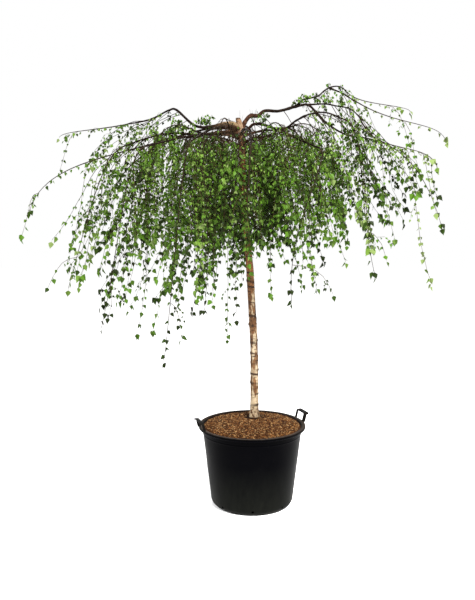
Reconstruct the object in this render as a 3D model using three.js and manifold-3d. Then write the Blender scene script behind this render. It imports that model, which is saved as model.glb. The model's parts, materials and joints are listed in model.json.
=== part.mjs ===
// A weeping birch, grafted as a standard on a bare stem, in a round nursery container.
// Millimetres, +Z up. The origin is the centre of the container's flat underside, -Y faces the viewer.
import * as THREE from "three";
import { mergeVertices } from "three/addons/utils/BufferGeometryUtils.js";
import Module from "manifold-3d";

const wasm = await Module();
wasm.setup();

// Container: a tapered tub of 80 to 90 litres with a rolled rim, two loop handles and drain holes.
const POT = {
  height: 436,
  rimRadius: 290,
  rimDrop: 20,
  rimBand: 15,
  rimRound: 5,
  wallTopRadius: 269,
  wallFootRadius: 224,
  cornerHeight: 34,
  heelRadius: 216,
  heelHeight: 8,
  footRadius: 205,
  wall: 3.5,
  floor: 4,
  segments: 28,
};
const DRAIN = { count: 8, radius: 7, length: 60, sides: 6, height: 26, firstAzimuth: -90 };
// A handle is a flat strap with a rib round its outside, which deepens to a grip along its bar.
const HANDLE = {
  azimuth: 19.5,
  seatRadius: 281,
  width: 110,
  height: 47,
  corner: 9,
  strap: 18,
  thickness: 5,
  bar: 8,
  rib: 14,
  ribThickness: 3.2,
  grip: 23,
  lean: 0.25,
};
const SOIL = { clearance: 0.5, edge: 427, shoulder: 190, shoulderHeight: 446, plateau: 115, crown: 455 };

// Stem: centre and radius at each height, from the flat cut on the soil to the pruned knuckle on top.
const TRUNK = [
  { z: 455.4, x: 13, y: 72, radius: 28.5 },
  { z: 485, x: 13, y: 72, radius: 23.5 },
  { z: 560, x: 14, y: 70, radius: 21.2 },
  { z: 700, x: 14, y: 66, radius: 20.6 },
  { z: 870, x: 11, y: 62, radius: 19.8 },
  { z: 1045, x: 1, y: 57, radius: 19.2 },
  { z: 1260, x: -11, y: 52, radius: 18.6 },
  { z: 1430, x: -27, y: 47, radius: 18 },
  { z: 1740, x: -50, y: 38, radius: 17 },
  { z: 1950, x: -57, y: 33, radius: 17.6 },
  { z: 2005, x: -61, y: 31, radius: 22 },
  { z: 2040, x: -69, y: 30, radius: 21.5 },
  { z: 2064, x: -78, y: 30, radius: 15 },
];
const TRUNK_SIDES = 12;
const TRUNK_BERTH = 24;
const FLARE = { lobes: 5, depth: 3.5, height: 80 };

// The crown is laid out in polar terms round its head: reach, height above the head, azimuth from +X.
const HEAD = new THREE.Vector3(-66, 30, 2047);
const GAP = 0.3;
const LIMB = { sides: 5, steps: 7, taper: 0.8 };

// Boughs: each follows [reach, height] stations while its azimuth swings from root to tip.
const LIMBS = [
  { name: "bough_left_arch", azimuth: [182, 168], radius: [11.5, 3.4],
    steps: 11,
    stations: [[0, -26], [60, -8], [130, -22], [200, -28], [255, -7], [335, 64], [380, 64], [483, 22],
      [640, 2]] },
  { name: "bough_left_low", azimuth: [192, 188], radius: [9.5, 3.4],
    stations: [[0, -62], [60, -52], [164, -66], [254, -84], [337, -84], [459, -122], [640, -172]] },
  { name: "bough_right_main", azimuth: [-4, -9], radius: [12.5, 3.6],
    steps: 12,
    stations: [[0, -60], [20, -14], [52, 28], [92, 30], [132, 54], [205, 52], [307, 76], [362, 74],
      [437, -4], [540, -72], [650, -96]] },
  { name: "bough_right_crest", parent: "bough_right_main", at: 0.585, azimuth: [-5, 21], radius: [6, 3.2],
    steps: 9,
    stations: [[326, 106], [372, 121], [410, 134], [440, 160], [475, 184], [525, 200], [575, 202],
      [640, 186]] },
  { name: "bough_right_mid", parent: "bough_right_crest", at: 0.62, azimuth: [13, 8], radius: [4, 3],
    stations: [[560, 170], [602, 140], [660, 100]] },
  { name: "bough_right_arch", parent: "bough_right_main", at: 0.68, azimuth: [-7, -24], radius: [5.5, 3.2],
    stations: [[440, 82], [501, 64], [568, 42], [620, 0], [660, -60]] },
  { name: "bough_front_right", azimuth: [-44, -56], radius: [9, 3.4],
    stations: [[0, -102], [56, -48], [107, -22], [185, -36], [251, -60], [330, -84], [430, -124],
      [640, -190]] },
  { name: "bough_right_near", parent: "bough_front_right", at: 0.57, azimuth: [-50, -39], radius: [6, 3.2],
    stations: [[350, -66], [400, -38], [470, -12], [550, -10], [640, -50]] },
  { name: "bough_front", azimuth: [-78, -86], radius: [8.5, 3.4],
    stations: [[0, -66], [90, -52], [250, -76], [420, -118], [640, -190]] },
  { name: "bough_front_left", azimuth: [238, 250], radius: [8.5, 3.4],
    stations: [[0, -38], [90, -34], [250, -60], [420, -104], [640, -168]] },
  { name: "bough_left_front", azimuth: [222, 227], radius: [8.5, 3.4],
    stations: [[0, -94], [80, -76], [240, -84], [420, -120], [640, -176]] },
  { name: "bough_left_near", parent: "bough_left_low", at: 0.42, azimuth: [190, 207], radius: [6, 3.2],
    stations: [[330, -66], [410, -78], [520, -112], [640, -160]] },
  { name: "bough_back_left", azimuth: [146, 143], radius: [8.5, 3.4],
    stations: [[0, -48], [90, -28], [250, -24], [440, -50], [640, -110]] },
  { name: "bough_back_centre", azimuth: [114, 111], radius: [8.5, 3.4],
    stations: [[0, -80], [90, -50], [260, -34], [440, -52], [640, -120]] },
  { name: "bough_back", azimuth: [82, 79], radius: [8.5, 3.4],
    stations: [[0, -46], [90, -18], [250, 6], [440, -14], [640, -90]] },
  { name: "bough_back_right", azimuth: [50, 46], radius: [8.5, 3.4],
    stations: [[0, -82], [90, -52], [250, -20], [430, -30], [640, -90]] },
];
// Shorter boughs between them carry the crown's middle ring.
const MIDDLE = { roots: [-130, -150], bends: [70, 190], reach: 300, radius: [6, 3.2], dip: 40, steps: 5 };
const MIDDLE_LIMBS = [
  { side: "left", azimuth: 160, height: -18, hem: -700, tips: [] },
  { side: "left_front", azimuth: 207, height: -46, hem: -720,
    tips: [[552, -721, 205], [538, -1091, 217], [516, -710, 226]] },
  { side: "front_left", azimuth: 258, height: -40, hem: -700,
    tips: [[430, -996, 237], [582, -1097, 264], [530, -1011, 268]] },
  { side: "front_right", azimuth: 298, height: -56, hem: -690,
    tips: [[594, -898, 284], [451, -888, 313], [564, -882, 310]] },
  { side: "right_front", azimuth: 333, height: -40, hem: -680,
    tips: [[558, -768, 346], [447, -775, 352], [473, -633, 320]] },
  { side: "right", azimuth: 22, height: -10, hem: -560, tips: [[528, -563, 2]] },
  { side: "back_right", azimuth: 68, height: -34, hem: -700, tips: [] },
  { side: "back_left", azimuth: 124, height: -34, hem: -720, tips: [] },
];
MIDDLE_LIMBS.forEach(({ side, azimuth, height }, i) => {
  const { roots, bends, reach, radius, dip, steps } = MIDDLE;
  const root = roots[i % 2];
  LIMBS.push({
    name: `bough_middle_${side}`,
    azimuth: [azimuth, azimuth],
    radius,
    steps,
    stations: [[0, root], [bends[0], root + dip], [bends[1], height - dip], [reach, height]],
  });
});

// Foliage: a leader runs on from the bough's tip and twigs hang from it down to the crown's hem.
// Each mass keeps to a wedge of the crown. Its tips are what its leaves reach: the leader's first, then
// twigs that hang further than the rest, and seeded twigs fill the wedge down to the hem. Some masses have
// fewer twigs than the rest of their ring.
const RINGS = {
  outer: { inner: 606, outer: 1170, twigs: 4, leaf: 114 },
  middle: { inner: 292, outer: 598, twigs: 5, leaf: 126 },
  inner: { inner: 42, outer: 284, twigs: 2, leaf: 118 },
};
const MASSES = [
  { name: "foliage_left_top", limb: "bough_left_arch", wedge: [157.5, 178], hem: -330, twigs: 1,
    tips: [[1022, -100, 168]] },
  { name: "foliage_left_low", limb: "bough_left_low", wedge: [178, 197.5], hem: -640, twigs: 2,
    tips: [[1088, -516, 187], [873, -661, 194]] },
  { name: "foliage_left_near", limb: "bough_left_near", wedge: [197.5, 216], hem: -820,
    tips: [[906, -888, 202], [874, -870, 207]] },
  { name: "foliage_left_front", limb: "bough_left_front", wedge: [216, 238], hem: -900,
    tips: [[886, -1042, 225], [681, -1086, 224], [769, -927, 222]] },
  { name: "foliage_front_left", limb: "bough_front_left", wedge: [238, 262], hem: -800,
    tips: [[934, -1145, 250], [659, -870, 252]] },
  { name: "foliage_front", limb: "bough_front", wedge: [262, 283], hem: -690,
    tips: [[790, -640, 272], [731, -694, 273]] },
  { name: "foliage_front_right", limb: "bough_front_right", wedge: [283, 306], hem: -760,
    tips: [[761, -916, 287], [700, -800, 298]] },
  { name: "foliage_right_near", limb: "bough_right_near", wedge: [306, 327], hem: -720,
    tips: [[820, -811, 319]] },
  { name: "foliage_right_arch", limb: "bough_right_arch", wedge: [327, 342], hem: -560,
    tips: [[1019, -314, 334], [1013, -861, 333]] },
  { name: "foliage_right_low", limb: "bough_right_main", wedge: [342, 358.5], hem: -600, twigs: 2,
    tips: [[1037, -590, 350], [707, -680, 349], [808, -650, 350]] },
  { name: "foliage_right_mid", limb: "bough_right_mid", wedge: [-1.5, 14.5], hem: -300, twigs: 1,
    tips: [[1130, -132, 7]] },
  { name: "foliage_right_crest", limb: "bough_right_crest", wedge: [14.5, 33], hem: -240, twigs: 1,
    tips: [[1055, 60, 21]] },
  { name: "foliage_back_right", limb: "bough_back_right", wedge: [33, 62.5], hem: -760,
    tips: [[1000, -470, 46]] },
  { name: "foliage_back", limb: "bough_back", wedge: [62.5, 95], hem: -860,
    tips: [[960, -640, 79]] },
  { name: "foliage_back_centre", limb: "bough_back_centre", wedge: [95, 127], hem: -880,
    tips: [[985, -600, 111]] },
  { name: "foliage_back_left", limb: "bough_back_left", wedge: [127, 157.5], hem: -760,
    tips: [[1030, -520, 143]] },
].map((mass) => ({ twigs: RINGS.outer.twigs, ...mass, ring: "outer" }));
MIDDLE_LIMBS.forEach(({ side, azimuth, height, hem, tips }, i) => {
  const before = MIDDLE_LIMBS.at(i - 1).azimuth;
  const after = MIDDLE_LIMBS[(i + 1) % MIDDLE_LIMBS.length].azimuth;
  const half = (angle) => (((angle % 360) + 360) % 360) / 2;
  MASSES.push({
    name: `foliage_middle_${side}`,
    limb: `bough_middle_${side}`,
    ring: "middle",
    twigs: RINGS.middle.twigs,
    wedge: [azimuth - half(azimuth - before), azimuth + half(after - azimuth)],
    tips: [[560, height - 330, azimuth], ...tips],
    hem,
  });
});
const INNER = { count: 5, firstAzimuth: 42, roots: [-178, -194], hem: -690, radius: 3.4, rise: 1.3 };
for (let i = 0; i < INNER.count; i++) {
  const step = 360 / INNER.count;
  const azimuth = INNER.firstAzimuth + step * i;
  MASSES.push({
    name: `foliage_inner_${i + 1}`,
    root: INNER.roots[i % 2],
    ring: "inner",
    twigs: RINGS.inner.twigs,
    wedge: [azimuth - step / 2, azimuth + step / 2],
    tips: [[235, -520, azimuth]],
    hem: INNER.hem,
  });
}

// How a hanging twig arches: its run outwards and lift at the root, and how long it hangs before its end.
const ARCH = { out: 0.5, lift: 12, down: 0.45, across: 0.15 };
const LEADER = { splay: 0.3 };
// Twigs of the solid model are stouter than life. Their roots are shared out along the leader, and a named
// tip has its root above it. Swing is a share of the wedge to either side, fall a share of the way down.
const TWIG = {
  sides: 3,
  leaderSteps: 5,
  steps: 3,
  radii: [1.4, 3, 2.6, 2.1],
  tipRadius: 2.4,
  roots: [0.08, 0.92],
  jitter: [0.25, 0.75],
  namedRoots: [0.06, 0.85],
  namedReach: 0.82,
  swing: [0.14, 0.34],
  run: [40, 170],
  edges: [55, 30],
  fall: [0.62, 1],
  shortest: 170,
  rise: 0,
  splay: 0.4,
};
// Leaves of the solid model are larger than life too, each standing for a spray.
const LEAF = {
  width: 0.7,
  shoulder: 0.46,
  thickness: 0.03,
  sizes: [0.85, 1.15],
  hang: 0.9,
  spacing: 175,
  first: 0.14,
  firstInner: 0.3,
  sunk: 1,
  stalk: 0.14,
  lean: 1.2,
  tipLean: 0.1,
  turn: 50,
  clearance: 4,
  tries: 6,
};
const WEDGE_MARGIN = { leaf: 3, twig: 7 };
const SEEDS = { twig: [97, 0], leaf: [131, 7] };
const LIMB_MARGIN = 12;

const COLOURS = {
  pot: { color: 0x15171a, roughness: 0.55 },
  soil: { color: 0x8a5a34, roughness: 0.95 },
  trunk: { color: 0xc9a680, roughness: 0.8 },
  bough: { color: 0x3a241b, roughness: 0.75 },
  foliage: { color: 0x4f7d2a, roughness: 0.6 },
};

// Repeatable random numbers from 0 to 1.
function seeded(seed) {
  let state = seed >>> 0;
  return () => {
    state = (state + 0x6d2b79f5) >>> 0;
    let t = state;
    t = Math.imul(t ^ (t >>> 15), t | 1);
    t ^= t + Math.imul(t ^ (t >>> 7), t | 61);
    return ((t ^ (t >>> 14)) >>> 0) / 4294967296;
  };
}

function seededFor([times, plus], mass, index = 0) {
  return seeded(mass.seed * times + plus + index);
}

const radians = THREE.MathUtils.degToRad;
const UP = new THREE.Vector3(0, 0, 1);
const TINY = 1e-9;
const WELD = 1e-4;

function polar(reach, height, azimuth) {
  const a = radians(azimuth);
  return new THREE.Vector3(HEAD.x + reach * Math.cos(a), HEAD.y + reach * Math.sin(a), HEAD.z + height);
}

function outwardAt(point) {
  return new THREE.Vector3(point.x - HEAD.x, point.y - HEAD.y, 0).normalize();
}

// Closed geometry to solid and back.
function solidOf(geometry) {
  const bare = geometry.clone();
  bare.deleteAttribute("normal");
  bare.deleteAttribute("uv");
  const merged = mergeVertices(bare, WELD);
  return new wasm.Manifold(
    new wasm.Mesh({
      numProp: 3,
      vertProperties: new Float32Array(merged.attributes.position.array),
      triVerts: new Uint32Array(merged.index.array),
    }),
  );
}

function geometryOf(solid) {
  const mesh = solid.getMesh();
  const geometry = new THREE.BufferGeometry();
  geometry.setAttribute("position", new THREE.BufferAttribute(mesh.vertProperties, mesh.numProp));
  geometry.setIndex(new THREE.BufferAttribute(mesh.triVerts, 1));
  geometry.computeVertexNormals();
  return geometry;
}

function joined(solids) {
  let round = solids;
  while (round.length > 1) {
    const next = [];
    for (let i = 0; i < round.length; i += 2)
      next.push(i + 1 < round.length ? round[i].add(round[i + 1]) : round[i]);
    round = next;
  }
  return round[0];
}

function largestBody(solid) {
  return solid.decompose().reduce((best, body) => (body.volume() > best.volume() ? body : best));
}

// A cylinder bent along a line of points, with its own radius at each; its first end can face a heading.
function bentCylinder(points, radiusAt, sides, heading) {
  const steps = points.length - 1;
  const geometry = new THREE.CylinderGeometry(1, 1, 1, sides, steps);
  const tangents = points.map((_, i) => {
    const [before, after] = [points[Math.max(i - 1, 0)], points[Math.min(i + 1, steps)]];
    return after.clone().sub(before).normalize();
  });
  if (heading) tangents[0].copy(heading).normalize();
  const level = Math.abs(tangents[0].z) < 0.9 ? UP : new THREE.Vector3(1, 0, 0);
  const normals = [level.clone().cross(tangents[0]).normalize()];
  for (let i = 1; i <= steps; i++) {
    const lean = normals[i - 1].dot(tangents[i]);
    normals.push(normals[i - 1].clone().addScaledVector(tangents[i], -lean).normalize());
  }
  const position = geometry.attributes.position;
  const v = new THREE.Vector3();
  for (let k = 0; k < position.count; k++) {
    v.fromBufferAttribute(position, k);
    const ring = Math.round((v.y + 0.5) * steps);
    const radius = radiusAt(ring / steps);
    const binormal = normals[ring].clone().cross(tangents[ring]);
    const placed = points[ring]
      .clone()
      .addScaledVector(normals[ring], v.x * radius)
      .addScaledVector(binormal, v.z * radius);
    position.setXYZ(k, placed.x, placed.y, placed.z);
  }
  return geometry;
}

function container() {
  const { height, rimRadius, rimRound, wallTopRadius, wallFootRadius, footRadius, cornerHeight, wall } = POT;
  const profile = [
    [0, 0],
    [footRadius, 0],
    [POT.heelRadius, POT.heelHeight],
    [wallFootRadius, cornerHeight],
    [wallTopRadius, height - POT.rimDrop],
    [rimRadius, height - POT.rimBand],
    [rimRadius, height - rimRound],
    [rimRadius - rimRound, height],
    [wallTopRadius - wall, height],
    [wallFootRadius - wall, cornerHeight],
    [footRadius - wall, POT.floor],
    [0, POT.floor],
  ].map(([r, z]) => new THREE.Vector2(r, z));
  const shell = solidOf(new THREE.LatheGeometry(profile, POT.segments).rotateX(Math.PI / 2));
  const drains = [];
  for (let i = 0; i < DRAIN.count; i++) {
    const a = radians(DRAIN.firstAzimuth + (360 / DRAIN.count) * i);
    const bit = new THREE.CylinderGeometry(DRAIN.radius, DRAIN.radius, DRAIN.length, DRAIN.sides);
    bit.rotateZ(Math.PI / 2).rotateZ(a);
    bit.translate(footRadius * Math.cos(a), footRadius * Math.sin(a), DRAIN.height);
    drains.push(solidOf(bit));
  }
  return geometryOf(drains.reduce((body, drain) => body.subtract(drain), shell));
}

// A handle's line set in from its outside: up one leg, over the bar and down the other.
function archLine(inset) {
  const half = HANDLE.width / 2 - inset;
  const top = HANDLE.height - Math.min(inset, HANDLE.bar);
  const corner = inset > HANDLE.corner ? HANDLE.ribThickness : HANDLE.corner - inset / 2;
  return [
    [-half, 0],
    [-half, top - corner],
    [corner - half, top],
    [half - corner, top],
    [half, top - corner],
    [half, 0],
  ];
}

// The band between two of those lines, from one depth to another outwards.
function archBand(outer, inner, near, far) {
  const outline = [...outer, ...inner.toReversed()].map(([x, y]) => new THREE.Vector2(x, y));
  const depth = far - near;
  const band = new THREE.ExtrudeGeometry(new THREE.Shape(outline), { depth, bevelEnabled: false });
  return solidOf(band.translate(0, 0, near).rotateX(Math.PI / 2));
}

// A loop handle standing on the rim and leaning outwards.
function handle(azimuth) {
  const { width, height, corner, thickness, rib, ribThickness, grip, lean } = HANDLE;
  const outside = archLine(0);
  const strap = archBand(outside, archLine(HANDLE.strap), 0, thickness);
  const edge = archBand(outside, archLine(ribThickness), thickness, rib);
  const bar = new THREE.BoxGeometry(width - 2 * corner, grip - rib, ribThickness);
  bar.translate(0, -(rib + grip) / 2, height - ribThickness / 2);
  const geometry = geometryOf(strap.add(edge).add(solidOf(bar)));
  const position = geometry.attributes.position;
  for (let k = 0; k < position.count; k++) {
    position.setY(k, position.getY(k) - lean * position.getZ(k));
  }
  geometry.translate(0, thickness / 2 - HANDLE.seatRadius, POT.height + GAP);
  geometry.rotateZ(radians(azimuth + 90));
  return geometry;
}

function compost() {
  const { wall, floor, footRadius, wallFootRadius, wallTopRadius, cornerHeight, height } = POT;
  const skin = wall + SOIL.clearance;
  const wallAt = (z) =>
    THREE.MathUtils.mapLinear(z, cornerHeight, height, wallFootRadius - skin, wallTopRadius - skin);
  const profile = [
    [0, floor + SOIL.clearance],
    [footRadius - 2 * skin, floor + SOIL.clearance],
    [wallFootRadius - skin, cornerHeight],
    [wallAt(SOIL.edge), SOIL.edge],
    [SOIL.shoulder, SOIL.shoulderHeight],
    [SOIL.plateau, SOIL.crown],
    [0, SOIL.crown],
  ].map(([r, z]) => new THREE.Vector2(r, z));
  return new THREE.LatheGeometry(profile, POT.segments).rotateX(Math.PI / 2);
}

// The stem's centre and radius at any height.
function trunkAt(z) {
  const last = TRUNK.length - 1;
  const i = Math.max(0, Math.min(last - 1, TRUNK.findIndex((s) => s.z > z) - 1));
  const [a, b] = [TRUNK[i], TRUNK[i + 1]];
  const t = THREE.MathUtils.clamp((z - a.z) / (b.z - a.z), 0, 1);
  return {
    centre: new THREE.Vector3(THREE.MathUtils.lerp(a.x, b.x, t), THREE.MathUtils.lerp(a.y, b.y, t), z),
    radius: THREE.MathUtils.lerp(a.radius, b.radius, t),
  };
}

function trunk(extra = 0) {
  const steps = TRUNK.length - 1;
  const geometry = new THREE.CylinderGeometry(1, 1, 1, TRUNK_SIDES, steps);
  geometry.rotateX(Math.PI / 2);
  const position = geometry.attributes.position;
  for (let k = 0; k < position.count; k++) {
    const ring = TRUNK[Math.round((position.getZ(k) + 0.5) * steps)];
    const [x, y] = [position.getX(k), position.getY(k)];
    const above = Math.max(0, 1 - (ring.z - TRUNK[0].z) / FLARE.height);
    const lobe = FLARE.depth * above * Math.cos(FLARE.lobes * Math.atan2(y, x));
    const radius = ring.radius + lobe + extra;
    position.setXYZ(k, ring.x + x * radius, ring.y + y * radius, ring.z);
  }
  return geometry;
}

// A bough's centre line: from the stem's heart, or from its parent's, through the stations.
function limbPoints(limb, placed) {
  const [rootAzimuth, tipAzimuth] = limb.azimuth;
  const firstReach = limb.stations[0][0];
  const lastReach = limb.stations.at(-1)[0];
  const knots = limb.stations.map(([reach, height]) =>
    polar(
      reach,
      height,
      THREE.MathUtils.mapLinear(reach, firstReach, lastReach, rootAzimuth, tipAzimuth),
    ),
  );
  if (limb.parent) {
    const parentLine = new THREE.CatmullRomCurve3(placed.get(limb.parent).knots, false, "catmullrom");
    knots.unshift(parentLine.getPoint(limb.at));
  } else {
    knots[0].copy(trunkAt(knots[0].z).centre);
  }
  const curve = new THREE.CatmullRomCurve3(knots, false, "catmullrom");
  return { knots, points: curve.getPoints(limb.steps ?? LIMB.steps) };
}

function limbRadius(limb) {
  return (t) => THREE.MathUtils.lerp(limb.radius[0], limb.radius[1], Math.pow(t, LIMB.taper));
}

// Shortest distance between two straight stretches.
function stretchDistance(a0, a1, b0, b1) {
  const d1 = new THREE.Vector3().subVectors(a1, a0);
  const d2 = new THREE.Vector3().subVectors(b1, b0);
  const r = new THREE.Vector3().subVectors(a0, b0);
  const [a, e, f, c, b] = [d1.dot(d1), d2.dot(d2), d2.dot(r), d1.dot(r), d1.dot(d2)];
  const clamp = (x) => Math.min(1, Math.max(0, x));
  const denominator = a * e - b * b;
  let s = denominator > TINY ? clamp((b * f - c * e) / denominator) : 0;
  let t = e > TINY ? (b * s + f) / e : 0;
  if (t < 0 || t > 1) {
    t = clamp(t);
    s = a > TINY ? clamp((b * t - c) / a) : 0;
  }
  return a0.clone().addScaledVector(d1, s).distanceTo(b0.clone().addScaledVector(d2, t));
}

// A line of points as stretches with a radius, for a twig or leaf to stay clear of.
function stretchesOf(points, radiusAt) {
  const steps = points.length - 1;
  return points.slice(1).map((to, i) => ({ from: points[i], to, radius: radiusAt(i / steps) }));
}

function clearOf(stretches, from, to, margin) {
  return stretches.every((s) => stretchDistance(from, to, s.from, s.to) > s.radius + margin);
}
const limbStretches = stretchesOf(
  TRUNK.map((s) => new THREE.Vector3(s.x, s.y, s.z)),
  () => TRUNK_BERTH,
);

function inWedge(mass, point, margin) {
  const { inner, outer } = RINGS[mass.ring];
  const [x, y] = [point.x - HEAD.x, point.y - HEAD.y];
  const reach = Math.hypot(x, y);
  if (reach < inner + margin || reach > outer - margin) return false;
  const [from, to] = mass.wedge.map(radians);
  return (
    -x * Math.sin(from) + y * Math.cos(from) > margin && x * Math.sin(to) - y * Math.cos(to) > margin
  );
}

// A twig that arches over from its root and comes to hang at its end.
function hangingCurve(root, heading, end, endHeading) {
  const across = Math.hypot(end.x - root.x, end.y - root.y);
  const down = Math.abs(end.z - root.z);
  return new THREE.CubicBezierCurve3(
    root,
    root.clone().addScaledVector(heading, ARCH.out * across + ARCH.lift),
    end.clone().addScaledVector(endHeading, -ARCH.down * down - ARCH.across * Math.min(across, down)),
    end,
  );
}

// Where a twig must end for the leaf that hangs on it to reach a tip.
function twigEnd(mass, [reach, height, azimuth]) {
  return polar(reach, height + RINGS[mass.ring].leaf * LEAF.hang, azimuth);
}

// A leader runs on from its bough's tip; an inner one grows upwards out of the stem.
function leaderOf(mass, limb) {
  let root;
  let heading;
  if (limb) {
    const [before, last] = limb.points.slice(-2);
    heading = last.clone().sub(before).normalize();
    root = last.clone().addScaledVector(heading, GAP);
  } else {
    const azimuth = (mass.wedge[0] + mass.wedge[1]) / 2;
    root = trunkAt(HEAD.z + mass.root).centre;
    heading = outwardAt(polar(1, 0, azimuth)).addScaledVector(UP, INNER.rise).normalize();
  }
  const end = twigEnd(mass, mass.tips[0]);
  const endHeading = outwardAt(end).multiplyScalar(LEADER.splay).addScaledVector(UP, -1).normalize();
  return hangingCurve(root, heading, end, endHeading);
}

// Twig number index of a mass: where it leaves the leader, and where it hangs down to.
function twigOf(mass, index, leader) {
  const { lerp, clamp } = THREE.MathUtils;
  const random = seededFor(SEEDS.twig, mass, index);
  const ring = RINGS[mass.ring];
  const named = mass.tips[index + 1];
  const reachOf = (p) => Math.hypot(p.x - HEAD.x, p.y - HEAD.y);
  const reaches = [leader.getPoint(0), leader.getPoint(1)].map(reachOf);
  let along = lerp(...TWIG.roots, (index + lerp(...TWIG.jitter, random())) / mass.twigs);
  if (named) {
    const above = (named[0] * TWIG.namedReach - reaches[0]) / (reaches[1] - reaches[0]);
    along = clamp(above, ...TWIG.namedRoots);
  }
  const root = leader.getPoint(along);
  const side = index % 2 ? 1 : -1;
  const azimuth = lerp(...mass.wedge, 0.5 + side * lerp(...TWIG.swing, random()));
  const beyond = reachOf(root) + lerp(...TWIG.run, random());
  const reach = clamp(beyond, ring.inner + TWIG.edges[0], ring.outer - TWIG.edges[1]);
  const depth = Math.max(TWIG.shortest, (root.z - HEAD.z - mass.hem) * lerp(...TWIG.fall, random()));
  const end = twigEnd(mass, named ?? [reach, root.z - HEAD.z - depth, azimuth]);
  const heading = end.clone().sub(root).setZ(0).normalize().addScaledVector(UP, TWIG.rise).normalize();
  const endHeading = outwardAt(end).multiplyScalar(TWIG.splay).addScaledVector(UP, -1).normalize();
  return hangingCurve(root, heading, end, endHeading);
}

// A leaf: a three-sided spindle pressed flat, with a ridge along its midrib; its root is sunk to the
// twig's heart.
function leafSolid({ root, direction, side, size }) {
  const face = new THREE.Vector3().crossVectors(side, direction).normalize();
  const profile = [
    [0, 0],
    [1, LEAF.shoulder],
    [0, 1],
  ].map(([r, y]) => new THREE.Vector2(r, y));
  const geometry = new THREE.LatheGeometry(profile, 3);
  const position = geometry.attributes.position;
  for (let k = 0; k < position.count; k++) {
    const across = Math.sign(Math.round(position.getX(k) * 2)) * (LEAF.width / 2);
    const proud = Math.max(0, position.getZ(k)) * LEAF.thickness;
    const v = root
      .clone()
      .addScaledVector(direction, position.getY(k) * size)
      .addScaledVector(side, across * size)
      .addScaledVector(face, proud * size);
    position.setXYZ(k, v.x, v.y, v.z);
  }
  return solidOf(geometry);
}

// A leaf's blade as two crossed stretches: its midrib beyond the stalk, and its width.
function bladeOf({ root, direction, side, size }) {
  const at = (along, across) =>
    root.clone().addScaledVector(direction, along * size).addScaledVector(side, across * size);
  return [
    { from: at(LEAF.stalk, 0), to: at(1, 0), radius: 0 },
    { from: at(LEAF.shoulder, -LEAF.width / 2), to: at(LEAF.shoulder, LEAF.width / 2), radius: 0 },
  ];
}

function leafFits(mass, blade, own) {
  return blade.every(
    ({ from, to }) =>
      inWedge(mass, from, WEDGE_MARGIN.leaf) &&
      inWedge(mass, to, WEDGE_MARGIN.leaf) &&
      clearOf(limbStretches, from, to, LIMB_MARGIN) &&
      clearOf(own, from, to, LEAF.clearance),
  );
}

// Leaves along one twig, turned to alternate sides, and one that hangs on its tip. Each is turned until it
// fits, or left out.
function leavesOn(mass, points, random, first, own) {
  const leaves = [];
  const line = new THREE.CurvePath();
  for (let i = 0; i + 1 < points.length; i++) line.add(new THREE.LineCurve3(points[i], points[i + 1]));
  const length = line.getLength();
  const count = Math.max(1, Math.round((length * (1 - first)) / LEAF.spacing));
  const swung = (middle) => radians(middle + (2 * random() - 1) * LEAF.turn);
  for (let i = 0; i <= count; i++) {
    const along = first + ((1 - first) * i) / count;
    const root = line.getPointAt(Math.min(1 - LEAF.sunk / length, along));
    const size = RINGS[mass.ring].leaf * THREE.MathUtils.lerp(...LEAF.sizes, random());
    for (let attempt = 0; attempt < LEAF.tries; attempt++) {
      const outward = outwardAt(root).applyAxisAngle(UP, swung(i % 2 ? 90 : -90));
      const lean = i === count ? LEAF.tipLean * (1 + attempt) : LEAF.lean;
      const direction = outward.multiplyScalar(lean).addScaledVector(UP, -1).normalize();
      const facing = outwardAt(root).applyAxisAngle(UP, swung(0));
      const leaf = { root, direction, side: direction.clone().cross(facing).normalize(), size };
      const blade = bladeOf(leaf);
      if (!leafFits(mass, blade, own)) continue;
      own.push(...blade);
      leaves.push(leafSolid(leaf));
      break;
    }
  }
  return leaves;
}

// One mass: its leader, its twigs and their leaves, fused into a single body.
function foliage(mass, limb, cutter) {
  const leader = leaderOf(mass, limb);
  const leaderPoints = leader.getPoints(TWIG.leaderSteps);
  const rootRadius = limb ? limb.radius[1] : INNER.radius;
  const leaderRadius = (t) => THREE.MathUtils.lerp(rootRadius, TWIG.tipRadius, t);
  const twigRadius = (t) => TWIG.radii[Math.round(t * TWIG.steps)];
  let leaderSolid = solidOf(bentCylinder(leaderPoints, leaderRadius, TWIG.sides, leader.getTangent(0)));
  if (cutter) leaderSolid = largestBody(leaderSolid.subtract(cutter));
  const pieces = [leaderSolid];
  const lines = [leaderPoints];
  for (let i = 0; i < mass.twigs; i++) {
    const points = twigOf(mass, i, leader).getPoints(TWIG.steps);
    const fits = points.slice(1).every(
      (p, k) => inWedge(mass, p, WEDGE_MARGIN.twig) && clearOf(limbStretches, points[k], p, LIMB_MARGIN),
    );
    if (!fits) continue;
    pieces.push(solidOf(bentCylinder(points, twigRadius, TWIG.sides)));
    lines.push(points);
  }
  const random = seededFor(SEEDS.leaf, mass);
  const own = lines.flatMap((points) => stretchesOf(points, twigRadius));
  for (const points of lines) {
    const first = cutter && points === leaderPoints ? LEAF.firstInner : LEAF.first;
    pieces.push(...leavesOn(mass, points, random, first, own));
  }
  return geometryOf(largestBody(joined(pieces)));
}

const tree = new THREE.Group();
function addPart(name, geometry, finish) {
  const mesh = new THREE.Mesh(geometry, new THREE.MeshStandardMaterial({ metalness: 0, ...finish }));
  mesh.name = name;
  tree.add(mesh);
}

addPart("pot", container(), COLOURS.pot);
addPart("handle_right", handle(HANDLE.azimuth), COLOURS.pot);
addPart("handle_left", handle(HANDLE.azimuth + 180), COLOURS.pot);
addPart("soil", compost(), COLOURS.soil);
addPart("trunk", trunk(), COLOURS.trunk);

const trunkCutter = solidOf(trunk(GAP));

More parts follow.
